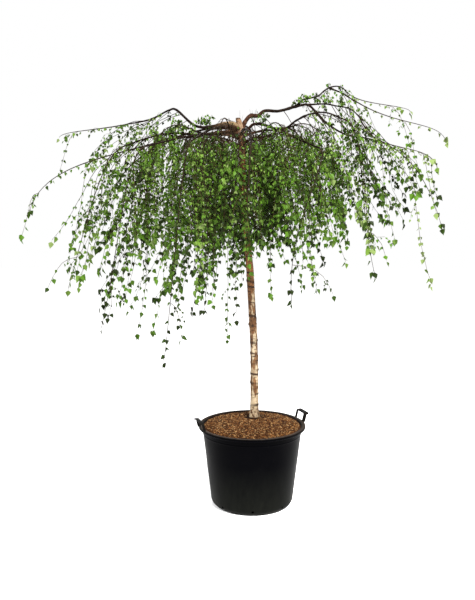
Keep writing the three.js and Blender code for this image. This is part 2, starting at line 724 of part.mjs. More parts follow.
const placed = new Map();
for (const limb of LIMBS) {
  const { knots, points } = limbPoints(limb, placed);
  const radiusAt = limbRadius(limb);
  const parent = placed.get(limb.parent);
  const widened = parent && bentCylinder(parent.points, (t) => parent.radiusAt(t) + GAP, LIMB.sides);
  const cutter = parent ? solidOf(widened) : trunkCutter;
  const body = largestBody(solidOf(bentCylinder(points, radiusAt, LIMB.sides)).subtract(cutter));
  placed.set(limb.name, { ...limb, knots, points, radiusAt });
  limbStretches.push(...stretchesOf(points, radiusAt));
  addPart(limb.name, geometryOf(body), COLOURS.bough);
}

MASSES.forEach((mass, i) => {
  const limb = placed.get(mass.limb);
  const grown = foliage({ ...mass, seed: i + 1 }, limb, limb ? null : trunkCutter);
  addPart(mass.name, grown, COLOURS.foliage);
});

export default tree;
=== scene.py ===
"""The looks of a weeping birch, grafted as a standard on a bare stem, in a round nursery container.

Lengths are in millimetres and azimuths in degrees from +X, as in the part's source, and MM turns them
into Blender's metres. The crown grows by the same seeded rule as the solids, carried to finer twigs.
"""
import json
import math

import bpy
import numpy as np
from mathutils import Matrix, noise

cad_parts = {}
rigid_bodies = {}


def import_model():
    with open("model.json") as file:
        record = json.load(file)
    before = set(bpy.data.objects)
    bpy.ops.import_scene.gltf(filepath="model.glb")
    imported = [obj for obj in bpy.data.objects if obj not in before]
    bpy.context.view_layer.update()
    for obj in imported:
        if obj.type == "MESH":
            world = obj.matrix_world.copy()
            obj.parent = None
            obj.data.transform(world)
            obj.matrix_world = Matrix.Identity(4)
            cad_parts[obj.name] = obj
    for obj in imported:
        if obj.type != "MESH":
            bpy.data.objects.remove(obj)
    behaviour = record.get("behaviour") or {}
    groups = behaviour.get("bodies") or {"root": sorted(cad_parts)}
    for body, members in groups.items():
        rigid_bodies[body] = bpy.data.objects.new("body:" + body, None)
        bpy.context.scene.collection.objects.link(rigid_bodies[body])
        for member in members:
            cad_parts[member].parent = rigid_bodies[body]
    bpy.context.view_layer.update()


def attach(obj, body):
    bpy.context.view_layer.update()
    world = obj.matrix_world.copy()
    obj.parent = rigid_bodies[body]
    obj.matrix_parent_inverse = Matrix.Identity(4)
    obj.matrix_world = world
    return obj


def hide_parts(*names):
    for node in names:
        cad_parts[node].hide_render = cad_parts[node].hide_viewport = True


MM = 0.001
UP = np.array([0.0, 0.0, 1.0])
EAST = np.array([1.0, 0.0, 0.0])
HEAD = np.array([-66.0, 30.0, 2047.0])

# Container, with the solids' sizes and a finer rim.
POT = dict(height=436, rim=290, wall_top=269, wall_foot=224, foot=205, corner=34, wall=3.5, floor=4, drop=20)
DRAIN = dict(count=8, radius=7, height=26, turn=-90)
HANDLE = dict(azimuth=19.5, seat=281, width=110, height=47, strap=18, thickness=5, bar=8, lean=0.25,
              rib=14, rib_thickness=3.2, grip=23)
SOIL = dict(crown=455, plateau=115, shoulder=190, shoulder_height=446, edge=264, edge_height=427)

# Stem stations: height, centre x, centre y, radius.
TRUNK = np.array([
    [455.4, 13, 72, 28.5], [485, 13, 72, 23.5], [560, 14, 70, 21.2], [700, 14, 66, 20.6], [870, 11, 62, 19.8],
    [1045, 1, 57, 19.2], [1260, -11, 52, 18.6], [1430, -27, 47, 18], [1740, -50, 38, 17],
    [1950, -57, 33, 17.6], [2005, -61, 31, 20], [2040, -69, 30, 18.5], [2064, -78, 30, 12.5],
])

# Boughs: azimuth at root and tip, radius at root and tip, [reach, height] stations, and for a
# fork its parent and the share of the parent's line where it leaves. BOUGH has what most of them share.
BOUGH = dict(radius=(8.5, 3.4), steps=7)
LIMBS = {
    "left_arch": dict(azimuth=(182, 168), radius=(11.5, 3.4), steps=11, stations=[
        (0, -26), (60, -8), (130, -22), (200, -28), (255, -7), (335, 64), (380, 64), (483, 22), (640, 2)]),
    "left_low": dict(azimuth=(192, 188), radius=(9.5, 3.4), stations=[
        (0, -62), (60, -52), (164, -66), (254, -84), (337, -84), (459, -122), (640, -172)]),
    "right_main": dict(azimuth=(-4, -9), radius=(12.5, 3.6), steps=12, stations=[
        (0, -60), (20, -14), (52, 28), (92, 30), (132, 54), (205, 52), (307, 76), (362, 74), (437, -4),
        (540, -72), (650, -96)]),
    "right_crest": dict(
        parent="right_main", at=0.585, azimuth=(-5, 21), radius=(5.2, 2.9), steps=9,
        stations=[(326, 106), (372, 121), (410, 134), (440, 160), (475, 184), (525, 200), (575, 202),
                  (640, 186)],
    ),
    "right_mid": dict(parent="right_crest", at=0.62, azimuth=(13, 8), radius=(4, 3), stations=[
        (560, 170), (602, 140), (660, 100)]),
    "right_arch": dict(parent="right_main", at=0.68, azimuth=(-7, -24), radius=(4.2, 2.7), stations=[
        (440, 82), (501, 64), (568, 42), (620, 0), (660, -60)]),
    "front_right": dict(azimuth=(-44, -56), radius=(9, 3.4), stations=[
        (0, -102), (56, -48), (107, -22), (185, -36), (251, -60), (330, -84), (430, -124), (640, -190)]),
    "right_near": dict(parent="front_right", at=0.57, azimuth=(-50, -39), radius=(6, 3.2), stations=[
        (350, -66), (400, -38), (470, -12), (550, -10), (640, -50)]),
    "front": dict(azimuth=(-78, -86), stations=[
        (0, -66), (90, -52), (250, -76), (420, -118), (640, -190)]),
    "front_left": dict(azimuth=(238, 250), stations=[
        (0, -38), (90, -34), (250, -60), (420, -104), (640, -168)]),
    "left_front": dict(azimuth=(222, 227), stations=[
        (0, -94), (80, -76), (240, -84), (420, -120), (640, -176)]),
    "left_near": dict(parent="left_low", at=0.42, azimuth=(190, 207), radius=(6, 3.2), stations=[
        (330, -66), (410, -78), (520, -112), (640, -160)]),
    "back_left": dict(azimuth=(146, 143), stations=[
        (0, -48), (90, -28), (250, -24), (440, -50), (640, -110)]),
    "back_centre": dict(azimuth=(114, 111), stations=[
        (0, -80), (90, -50), (260, -34), (440, -52), (640, -120)]),
    "back": dict(azimuth=(82, 79), stations=[
        (0, -46), (90, -18), (250, 6), (440, -14), (640, -90)]),
    "back_right": dict(azimuth=(50, 46), stations=[
        (0, -82), (90, -52), (250, -20), (430, -30), (640, -90)]),
}
# The shorter boughs under the middle of the crown leave the stem at two heights by turns. Each has its side,
# its azimuth, the height of its tip, its mass's hem, and the mass's tips after the leader's.
MIDDLE = dict(roots=(-130, -150), reach=300, radius=(6, 3.2), dip=40, leader_reach=560, leader_drop=330)
MIDDLE_LIMBS = [
    ("left", 160, -18, -700, []),
    ("left_front", 207, -46, -720, [(552, -721, 205), (538, -1091, 217), (516, -710, 226)]),
    ("front_left", 258, -40, -700, [(430, -996, 237), (582, -1097, 264), (530, -1011, 268)]),
    ("front_right", 298, -56, -690, [(594, -898, 284), (451, -888, 313), (564, -882, 310)]),
    ("right_front", 333, -40, -680, [(558, -768, 346), (447, -775, 352), (473, -633, 320)]),
    ("right", 22, -10, -560, [(528, -563, 2)]),
    ("back_right", 68, -34, -700, []),
    ("back_left", 124, -34, -720, []),
]
for i, (side, azimuth, height, _, _) in enumerate(MIDDLE_LIMBS):
    root, dip = MIDDLE["roots"][i % 2], MIDDLE["dip"]
    LIMBS["middle_" + side] = dict(
        azimuth=(azimuth, azimuth), radius=MIDDLE["radius"], steps=5,
        stations=[(0, root), (70, root + dip), (190, height - dip), (MIDDLE["reach"], height)],
    )

# Masses of foliage: wedge of azimuths, hem height, and the tips that leaves reach, as [reach, height,
# azimuth] with the leader's first. LIMB_OF has the limbs that aren't named like their mass, and TWIGS the
# masses with fewer twigs than their ring.
RINGS = {
    "outer": dict(inner=606, outer=1170, twigs=4),
    "middle": dict(inner=292, outer=598, twigs=5),
    "inner": dict(inner=42, outer=284, twigs=2),
}
MASSES = [
    ("left_top", (157.5, 178), -330, [(1022, -100, 168)]),
    ("left_low", (178, 197.5), -640, [(1088, -516, 187), (873, -661, 194)]),
    ("left_near", (197.5, 216), -820, [(906, -888, 202), (874, -870, 207)]),
    ("left_front", (216, 238), -900, [(886, -1042, 225), (681, -1086, 224), (769, -927, 222)]),
    ("front_left", (238, 262), -800, [(934, -1145, 250), (659, -870, 252)]),
    ("front", (262, 283), -690, [(790, -640, 272), (731, -694, 273)]),
    ("front_right", (283, 306), -760, [(761, -916, 287), (700, -800, 298)]),
    ("right_near", (306, 327), -720, [(820, -811, 319)]),
    ("right_arch", (327, 342), -560, [(1019, -314, 334), (1013, -861, 333)]),
    ("right_low", (342, 358.5), -600, [(1037, -590, 350), (707, -680, 349), (808, -650, 350)]),
    ("right_mid", (-1.5, 14.5), -300, [(1130, -132, 7)]),
    ("right_crest", (14.5, 33), -240, [(1055, 60, 21)]),
    ("back_right", (33, 62.5), -760, [(1000, -470, 46)]),
    ("back", (62.5, 95), -860, [(960, -640, 79)]),
    ("back_centre", (95, 127), -880, [(985, -600, 111)]),
    ("back_left", (127, 157.5), -760, [(1030, -520, 143)]),
]
LIMB_OF = {"left_top": "left_arch", "right_low": "right_main"}
TWIGS = {"left_top": 1, "left_low": 2, "right_low": 2, "right_mid": 1, "right_crest": 1}
# The masses close round the stem: their leaders leave it at two heights by turns, rise and then hang.
INNER = dict(count=5, first=42, roots=(-178, -194), hem=-690, radius=3.4, rise=1.3, tip=(235, -520))

# How the crown is carried on from the solids' twigs: strands that hang from the leader, arching twigs
# that leave the bough and come to hang further out, side twigs on them all, and leaves of real size.
# Fall is the share of the way to the hem, splay how far a twig's end still leans outwards, gap the space
# between leaves, bare the share of an arch without leaves, and leaf a factor on the leaves' length.
GROWTH = dict(leader_end=0.95, fall=(0.5, 1), gap=34, along_gap=50, along_end=0.96, along_reach=140,
              bough_gap=60, short=10, bare=0.22, leaf=1)
RING_GROWTH = {
    "outer": dict(leader=2, leader_end=0.4, arches=14, arch_from=0.16, arch_reach=(180, 520),
                  rise=(-0.7, 0.15), splay=(0.4, 1.1), fall=(0.35, 1), gap=38, side_gap=105, along_gap=64,
                  along_end=0.5, along_reach=110),
    "middle": dict(leader=10, arches=9, arch_from=0.25, arch_reach=(60, 260), rise=(-0.2, 0.4),
                   splay=(0.1, 0.6), side_gap=56),
    "inner": dict(leader=16, rise=(0.1, 0.6), splay=(0.05, 0.2), side_gap=50),
}
# Where a mass grows otherwise than the rest of its ring.
OWN_GROWTH = {
    "left_top": dict(leader=0, arches=10, arch_from=0.5, gap=44, side_gap=180, along_end=0.4,
                     fall=(0.2, 0.95), short=60),
    "left_low": dict(leader=0, arches=12, gap=44, along_end=0.2, side_gap=260, short=110, fall=(0.7, 1.15),
                     bare=0.42),
    "left_near": dict(arches=13, gap=44, side_gap=200, fall=(0.6, 1), bare=0.4),
    "left_front": dict(leaf=0.9, leader=4, gap=42, side_gap=150, fall=(0.55, 1.12)),
    "front_left": dict(leaf=0.82, leader=4, fall=(0.6, 1.2)),
    "front": dict(leaf=0.78),
    "front_right": dict(leaf=0.82),
    "back_left": dict(gap=46, side_gap=190),
    "right_near": dict(fall=(0.35, 0.9)),
    "right_arch": dict(leader=1, arches=11, fall=(0.5, 1), arch_from=0.3, arch_reach=(150, 400),
                       rise=(-1.8, -0.6), short=75),
    "right_low": dict(leader=0, arches=8, fall=(0.55, 1.1), arch_reach=(130, 330), rise=(-1.6, -0.5),
                      gap=46, side_gap=260, along_end=0.2, short=130),
    "right_mid": dict(leader=0, arches=3, arch_reach=(40, 160), gap=56, side_gap=300, along_end=0.05,
                      short=160),
    "right_crest": dict(leader=0, arches=6, arch_reach=(40, 200), fall=(0.5, 1.2), gap=44, side_gap=160,
                        along_end=0.1, bough_gap=30, short=160),
    "middle_left": dict(leader=8, arches=6, gap=42, side_gap=90, fall=(0.5, 1.1)),
    "middle_left_front": dict(fall=(0.7, 1.28)),
    "middle_front_left": dict(leaf=0.85, fall=(0.75, 1.3)),
    "middle_front_right": dict(leaf=0.85, fall=(0.45, 0.85)),
    "middle_right_front": dict(fall=(0.35, 0.75)),
    "inner_5": dict(fall=(0.4, 0.85)),
}
# Leaves: their lengths on short twigs and on strands and the spread of them, the gap between those of a
# short twig, the stalk's length and half width in shares of the blade, and how far the last one hangs down.
LEAF = dict(spray=(13, 20), strand=(15.5, 34), spread=0.2, spray_gap=19, petiole=0.36, stalk=0.02, reach=44)
# Twigs: radii at root and tip, the leader's tip, a strand's sideways kinks and its steps, the run outwards
# of those on the leader, and the radius from which a twig has the stout twigs' colour.
TWIG = dict(strand=(1.4, 0.75), arch=(2.1, 0.75), spray=(0.8, 0.4), leader_tip=1.0, kink=2.6, step=45,
            run=(15, 110), stout=1.5)
# Before the stem and the knuckle a share of the leaves is left out, between two heights from the head.
PARTINGS = [
    dict(half_width=105, low=-150, high=300, share=0.93),
    dict(half_width=24, low=-280, high=-40, share=0.75),
    dict(half_width=22, low=-740, high=-280, share=0.1),
    dict(half_width=24, low=-1300, high=-740, share=0.8),
]
# Round the head the boughs are bare of leaves: between these azimuths, out to this reach and down to this
# far below it.
HEARTS = [dict(wedge=(150, 215), reach=190, depth=130), dict(wedge=(215, 290), reach=420, depth=150),
          dict(wedge=(290, 510), reach=105, depth=110)]
HEART_FADE = dict(reach=80, depth=60)
# The crown's right shoulder slopes down outwards, and above it there are few leaves.
SHOULDER = dict(wedge=(280, 405), reach=(100, 600), top=84, slope=0.5, fade=40,
                share=dict(outer=0.2, middle=0.92, inner=0.92))
LIMB_MARGIN = 7
# Leafy tufts that stand up on a bough: share of its line, number of twigs, and height.
TUFTS = {
    "left_arch": [(0.0, 2, 84), (0.34, 9, 76), (0.39, 6, 56)],
    "left_low": [(0.5, 4, 84), (0.6, 4, 96), (0.71, 5, 96), (0.82, 4, 90), (0.96, 4, 80)],
    "right_main": [(0.57, 4, 46), (0.62, 5, 60), (0.67, 6, 62)],
    "right_crest": [(0.3, 3, 30), (0.62, 4, 30), (0.85, 4, 14)],
    "right_arch": [(0.12, 7, 56), (0.3, 7, 56), (0.5, 5, 46)],
    "front_right": [(0.28, 7, 80), (0.4, 6, 70)],
}


def seeded(seed):
    """The part's own repeatable random numbers from 0 to 1."""
    mask = 0xFFFFFFFF
    state = seed & mask

    def random():
        nonlocal state
        state = (state + 0x6D2B79F5) & mask
        t = state
        t = ((t ^ (t >> 15)) * (t | 1)) & mask
        t ^= (t + ((t ^ (t >> 7)) * (t | 61))) & mask
        return ((t ^ (t >> 14)) & mask) / 4294967296

    return random


def unit(v):
    return v / np.maximum(np.linalg.norm(v, axis=-1, keepdims=True), 1e-9)


def lerp(a, b, t):
    return a + (b - a) * t


def clamp(values):
    return np.clip(values, 0, 1)


def rising(values, start, run):
    """A share that rises from 0 to 1 over a run, or falls to 0 where the run is negative."""
    return clamp((values - start) / run)


def polar(reach, height, azimuth):
    a = math.radians(azimuth)
    return HEAD + np.array([reach * math.cos(a), reach * math.sin(a), height])


def outward_at(point):
    return unit(np.array([point[0] - HEAD[0], point[1] - HEAD[1], 0.0]))


def turned(v, degrees):
    """A vector, or rows of them, turned about the vertical."""
    a = math.radians(degrees)
    x, y, z = v.T
    return np.array([x * math.cos(a) - y * math.sin(a), x * math.sin(a) + y * math.cos(a), z]).T


def through(knots, t):
    """A point of the uniform Catmull-Rom curve through the knots, t from 0 to 1."""
    last = len(knots) - 1
    i = min(int(t * last), last - 1)
    w = t * last - i
    p1, p2 = knots[i], knots[i + 1]
    p0 = knots[i - 1] if i > 0 else 2 * knots[0] - knots[1]
    p3 = knots[i + 2] if i + 2 <= last else 2 * knots[last] - knots[last - 1]
    t0, t1 = 0.5 * (p2 - p0), 0.5 * (p3 - p1)
    return p1 + t0 * w + (-3 * p1 + 3 * p2 - 2 * t0 - t1) * w**2 + (2 * p1 - 2 * p2 + t0 + t1) * w**3


def bezier(control, t):
    """Points of a cubic curve at each t."""
    t = np.atleast_1d(np.asarray(t, float))[:, None]
    a, b, c, d = control
    return a * (1 - t) ** 3 + 3 * b * t * (1 - t) ** 2 + 3 * c * t**2 * (1 - t) + d * t**3


def steps_of(line):
    return np.linalg.norm(np.diff(line, axis=0), axis=1)


def travelled(line):
    """How far along the line each of its points is."""
    return np.append(0, np.cumsum(steps_of(line)))


def point_on(line, along, at):
    """Where a line has come to when along, a value for each of its points, has come to at."""
    return np.array([np.interp(at, along, column) for column in line.T]).T


def trunk_at(z):
    """The stem's centre and radius at a height."""
    x, y, radius = (np.interp(z, TRUNK[:, 0], TRUNK[:, k]) for k in (1, 2, 3))
    return np.array([x, y, z]), radius


def limb_lines():
    """Each bough's knots, its fine centre line, its radii, and the end point and heading of the solid."""
    lines = {}
    for name, own in LIMBS.items():
        limb = {**BOUGH, **own}
        first, last = limb["stations"][0][0], limb["stations"][-1][0]
        knots = [
            polar(reach, height, lerp(*limb["azimuth"], (reach - first) / (last - first)))
            for reach, height in limb["stations"]
        ]
        if "parent" in limb:
            knots.insert(0, through(lines[limb["parent"]]["knots"], limb["at"]))
        else:
            knots[0] = trunk_at(knots[0][2])[0]
        steps = limb["steps"]
        before, end = (through(knots, (steps - k) / steps) for k in (1, 0))
        fine = np.array([through(knots, t) for t in np.linspace(0, 1, 8 * steps + 1)])
        lines[name] = dict(knots=knots, line=fine, end=end, heading=unit(end - before), radius=limb["radius"])
    return lines


def hanging_curve(root, heading, end, end_heading):
    """A twig that arches over from its root and comes to hang at its end."""
    across = math.hypot(end[0] - root[0], end[1] - root[1])
    down = abs(end[2] - root[2])
    bend = 0.45 * down + 0.15 * min(across, down)
    return (root, root + heading * (0.5 * across + 12), end - end_heading * bend, end)


def all_masses():
    """Every mass as the source lists it: the outer ones, the middle ring and the ring round the stem."""
    masses = [
        dict(name=name, limb=LIMB_OF.get(name, name), ring="outer", wedge=wedge, hem=hem, tips=tips)
        for name, wedge, hem, tips in MASSES
    ]
    for i, (side, azimuth, height, hem, tips) in enumerate(MIDDLE_LIMBS):
        before = (azimuth - MIDDLE_LIMBS[i - 1][1]) % 360 / 2
        after = (MIDDLE_LIMBS[(i + 1) % len(MIDDLE_LIMBS)][1] - azimuth) % 360 / 2
        masses.append(dict(
            name="middle_" + side, limb="middle_" + side, ring="middle", hem=hem,
            wedge=(azimuth - before, azimuth + after),
            tips=[(MIDDLE["leader_reach"], height - MIDDLE["leader_drop"], azimuth), *tips],
        ))
    step = 360 / INNER["count"]
    for i in range(INNER["count"]):
        azimuth = INNER["first"] + step * i
        masses.append(dict(
            name=f"inner_{i + 1}", limb=None, root=INNER["roots"][i % 2], ring="inner", hem=INNER["hem"],
            wedge=(azimuth - step / 2, azimuth + step / 2), tips=[(*INNER["tip"], azimuth)],
        ))
    for i, mass in enumerate(masses):
        mass["seed"] = i + 1
        mass["twigs"] = TWIGS.get(mass["name"], RINGS[mass["ring"]]["twigs"])
    return masses


def twig_end(tip):
    """Where a twig must end for the leaf that hangs on it to reach a tip."""
    return polar(tip[0], tip[1] + LEAF["reach"], tip[2])


def leader_of(mass, lines):
    if mass["limb"]:
        limb = lines[mass["limb"]]
        root, heading = limb["end"] - limb["heading"] * 2, limb["heading"]
    else:
        root = trunk_at(HEAD[2] + mass["root"])[0]
        heading = unit(turned(EAST, sum(mass["wedge"]) / 2) + UP * INNER["rise"])
    end = twig_end(mass["tips"][0])
    return hanging_curve(root, heading, end, unit(outward_at(end) * 0.3 - UP))


def reach_of(point):
    return math.hypot(point[0] - HEAD[0], point[1] - HEAD[1])


def hanging_twig(root, end, rise=0, splay=0.4):
    level = unit((end - root) * np.array([1, 1, 0]))
    return hanging_curve(root, unit(level + UP * rise), end, unit(outward_at(end) * splay - UP))


def twig_of(mass, index, leader):
    """Twig number index of the solids: the same roots and ends."""
    random = seeded(mass["seed"] * 97 + index)
    ring = RINGS[mass["ring"]]
    named = mass["tips"][index + 1] if index + 1 < len(mass["tips"]) else None
    reaches = [reach_of(leader[0]), reach_of(leader[3])]
    along = 0.08 + 0.84 * (index + 0.25 + 0.5 * random()) / mass["twigs"]
    if named:
        along = min(0.85, max(0.06, (named[0] * 0.82 - reaches[0]) / (reaches[1] - reaches[0])))
    root = bezier(leader, along)[0]
    across = 0.5 + (1 if index % 2 else -1) * (0.14 + 0.2 * random())
    azimuth = lerp(*mass["wedge"], across)
    reach = min(ring["outer"] - 30, max(ring["inner"] + 55, reach_of(root) + 40 + 130 * random()))
    depth = max(170, (root[2] - HEAD[2] - mass["hem"]) * (0.62 + 0.38 * random()))
    return hanging_twig(root, twig_end(named or (reach, root[2] - HEAD[2] - depth, azimuth)))


def limb_stretches(lines):
    """The limbs as straight stretches with a radius, to keep leaves out of the wood."""
    stem = TRUNK[:, [1, 2, 0]]
    stretches = list(zip(stem[:-1], stem[1:], TRUNK[:-1, 3]))
    for limb in lines.values():
        line = limb["line"][::4]
        radii = lerp(*limb["radius"], np.linspace(0, 1, len(line) - 1))
        stretches += zip(line[:-1], line[1:], radii)
    return stretches


def clear_of(stretches, points):
    """Which points lie clear of every limb."""
    keep = np.ones(len(points), bool)
    for start, end, radius in stretches:
        run = end - start
        t = clamp((points - start) @ run / (run @ run))
        keep &= np.linalg.norm(points - start - t[:, None] * run, axis=1) > radius + LIMB_MARGIN
    return keep


def axes_across(points):
    """Two axes across a line at each of its points, which don't twist along it."""
    tangents = unit(np.gradient(points, axis=0))
    normals = [unit(np.cross(UP if abs(tangents[0][2]) < 0.9 else EAST, tangents[0]))]
    for tangent in tangents[1:]:
        normals.append(unit(normals[-1] - tangent * (normals[-1] @ tangent)))
    return np.array(normals), np.cross(tangents, normals)


def tube(points, radii, sides):
    """A tube round a line, with a radius for each ring or each vertex: vertices and triangles."""
    normals, binormals = (axis[:, None] for axis in axes_across(points))
    angles = np.arange(sides)[:, None] * 2 * math.pi / sides
    ring = np.cos(angles) * normals + np.sin(angles) * binormals
    vertices = points[:, None] + ring * np.reshape(radii, (len(points), -1, 1))
    return vertices.reshape(-1, 3), tube_faces(len(points), sides)


def tube_faces(rings, sides, closed_end=True):
    """The triangles between rings of vertices, and over the last ring if the end is closed."""
    i, j = np.meshgrid(np.arange(rings - 1), np.arange(sides), indexing="ij")
    a, b = i * sides + j, i * sides + (j + 1) % sides
    faces = [np.stack([a, b, b + sides], -1), np.stack([a, b + sides, a + sides], -1)]
    if closed_end:
        top = (rings - 1) * sides
        fan = top + np.arange(1, sides - 1)
        faces.append(np.stack([0 * fan + top, fan, fan + 1], -1))
    return np.concatenate([group.reshape(-1, 3) for group in faces])


class Bundle:
    """Vertices, triangles and material numbers that end as one joined mesh."""

    def __init__(self):
        self.vertices, self.faces, self.slots, self.count = [], [], [], 0

    def add(self, vertices, faces, slot):
        self.vertices.append(vertices)
        self.faces.append(faces + self.count)
        self.slots.append(np.full(len(faces), slot))
        self.count += len(vertices)

    def object(self, name, materials, smooth=True):
        arrays = (np.concatenate(group) for group in (self.vertices, self.faces, self.slots))
        vertices, faces, slots = arrays
        return mesh_object(name, vertices, faces, materials, slots, smooth)


def linked(name, data):
    """A new object, in the scene."""
    made = bpy.data.objects.new(name, data)
    bpy.context.scene.collection.objects.link(made)
    return made


def mesh_object(name, vertices, faces, materials, slots=0, smooth=True):
    """A mesh object from its arrays, its triangles dealt to materials by number."""
    mesh = bpy.data.meshes.new(name)
    mesh.vertices.add(len(vertices))
    mesh.vertices.foreach_set("co", (vertices * MM).astype(np.float32).ravel())
    mesh.loops.add(faces.size)
    mesh.loops.foreach_set("vertex_index", faces.astype(np.int32).ravel())
    mesh.polygons.add(len(faces))
    mesh.polygons.foreach_set("loop_start", np.arange(0, faces.size, 3, dtype=np.int32))
    mesh.polygons.foreach_set("material_index", np.full(len(faces), slots, np.int32))
    mesh.polygons.foreach_set("use_smooth", np.full(len(faces), smooth))
    for material in materials:
        mesh.materials.append(material)
    mesh.update(calc_edges=True)
    return linked(name, mesh)


def place(piece, slot, *nodes):
    """A finished piece rides on the plant's body and stands for its nodes; its slot is not used."""
    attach(piece, "root")
    if nodes:
        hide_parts(*nodes)


# Leaf blade, in shares of its length: points of its rib, and half its outline with coarse teeth. The
# triangles of one half take the rib's points first and then the outline's.
LEAF_RIB = [(0.0, 0.0), (0.0, 0.4), (0.0, 1.0)]
LEAF_EDGE = [(0.2, 0.06), (0.42, 0.26), (0.34, 0.38), (0.25, 0.6), (0.08, 0.82)]
LEAF_HALF = [(0, 3, 4), (0, 4, 5), (0, 5, 1), (1, 5, 6), (1, 6, 7), (1, 7, 2)]
LEAF_SHAPES = [dict(fold=0.28, curl=0.22, twist=0.1), dict(fold=0.5, curl=0.05, twist=-0.2),
               dict(fold=0.12, curl=0.38, twist=0.25), dict(fold=0.36, curl=-0.12, twist=-0.05)]


def leaf_template(fold, curl, twist):
    """One leaf of length 1 with its stalk, in axes (across, along, out): vertices and triangles."""
    ribs, edge = len(LEAF_RIB), len(LEAF_EDGE)
    flat = LEAF_RIB + LEAF_EDGE + [(-x, y) for x, y in LEAF_EDGE]
    blade = [(x, y + LEAF["petiole"], fold * abs(x) - curl * y**2 + twist * x * y) for x, y in flat]
    half, top = LEAF["stalk"], LEAF["petiole"] + 0.03
    stalk = [(-half, 0, 0), (half, 0, 0), (half, top, 0), (-half, top, 0)]
    other = [tuple(k if k < ribs else k + edge for k in face[::-1]) for face in LEAF_HALF]
    base = len(blade)
    faces = LEAF_HALF + other + [(base, base + 1, base + 2), (base, base + 2, base + 3)]
    return np.array(blade + stalk), np.array(faces)


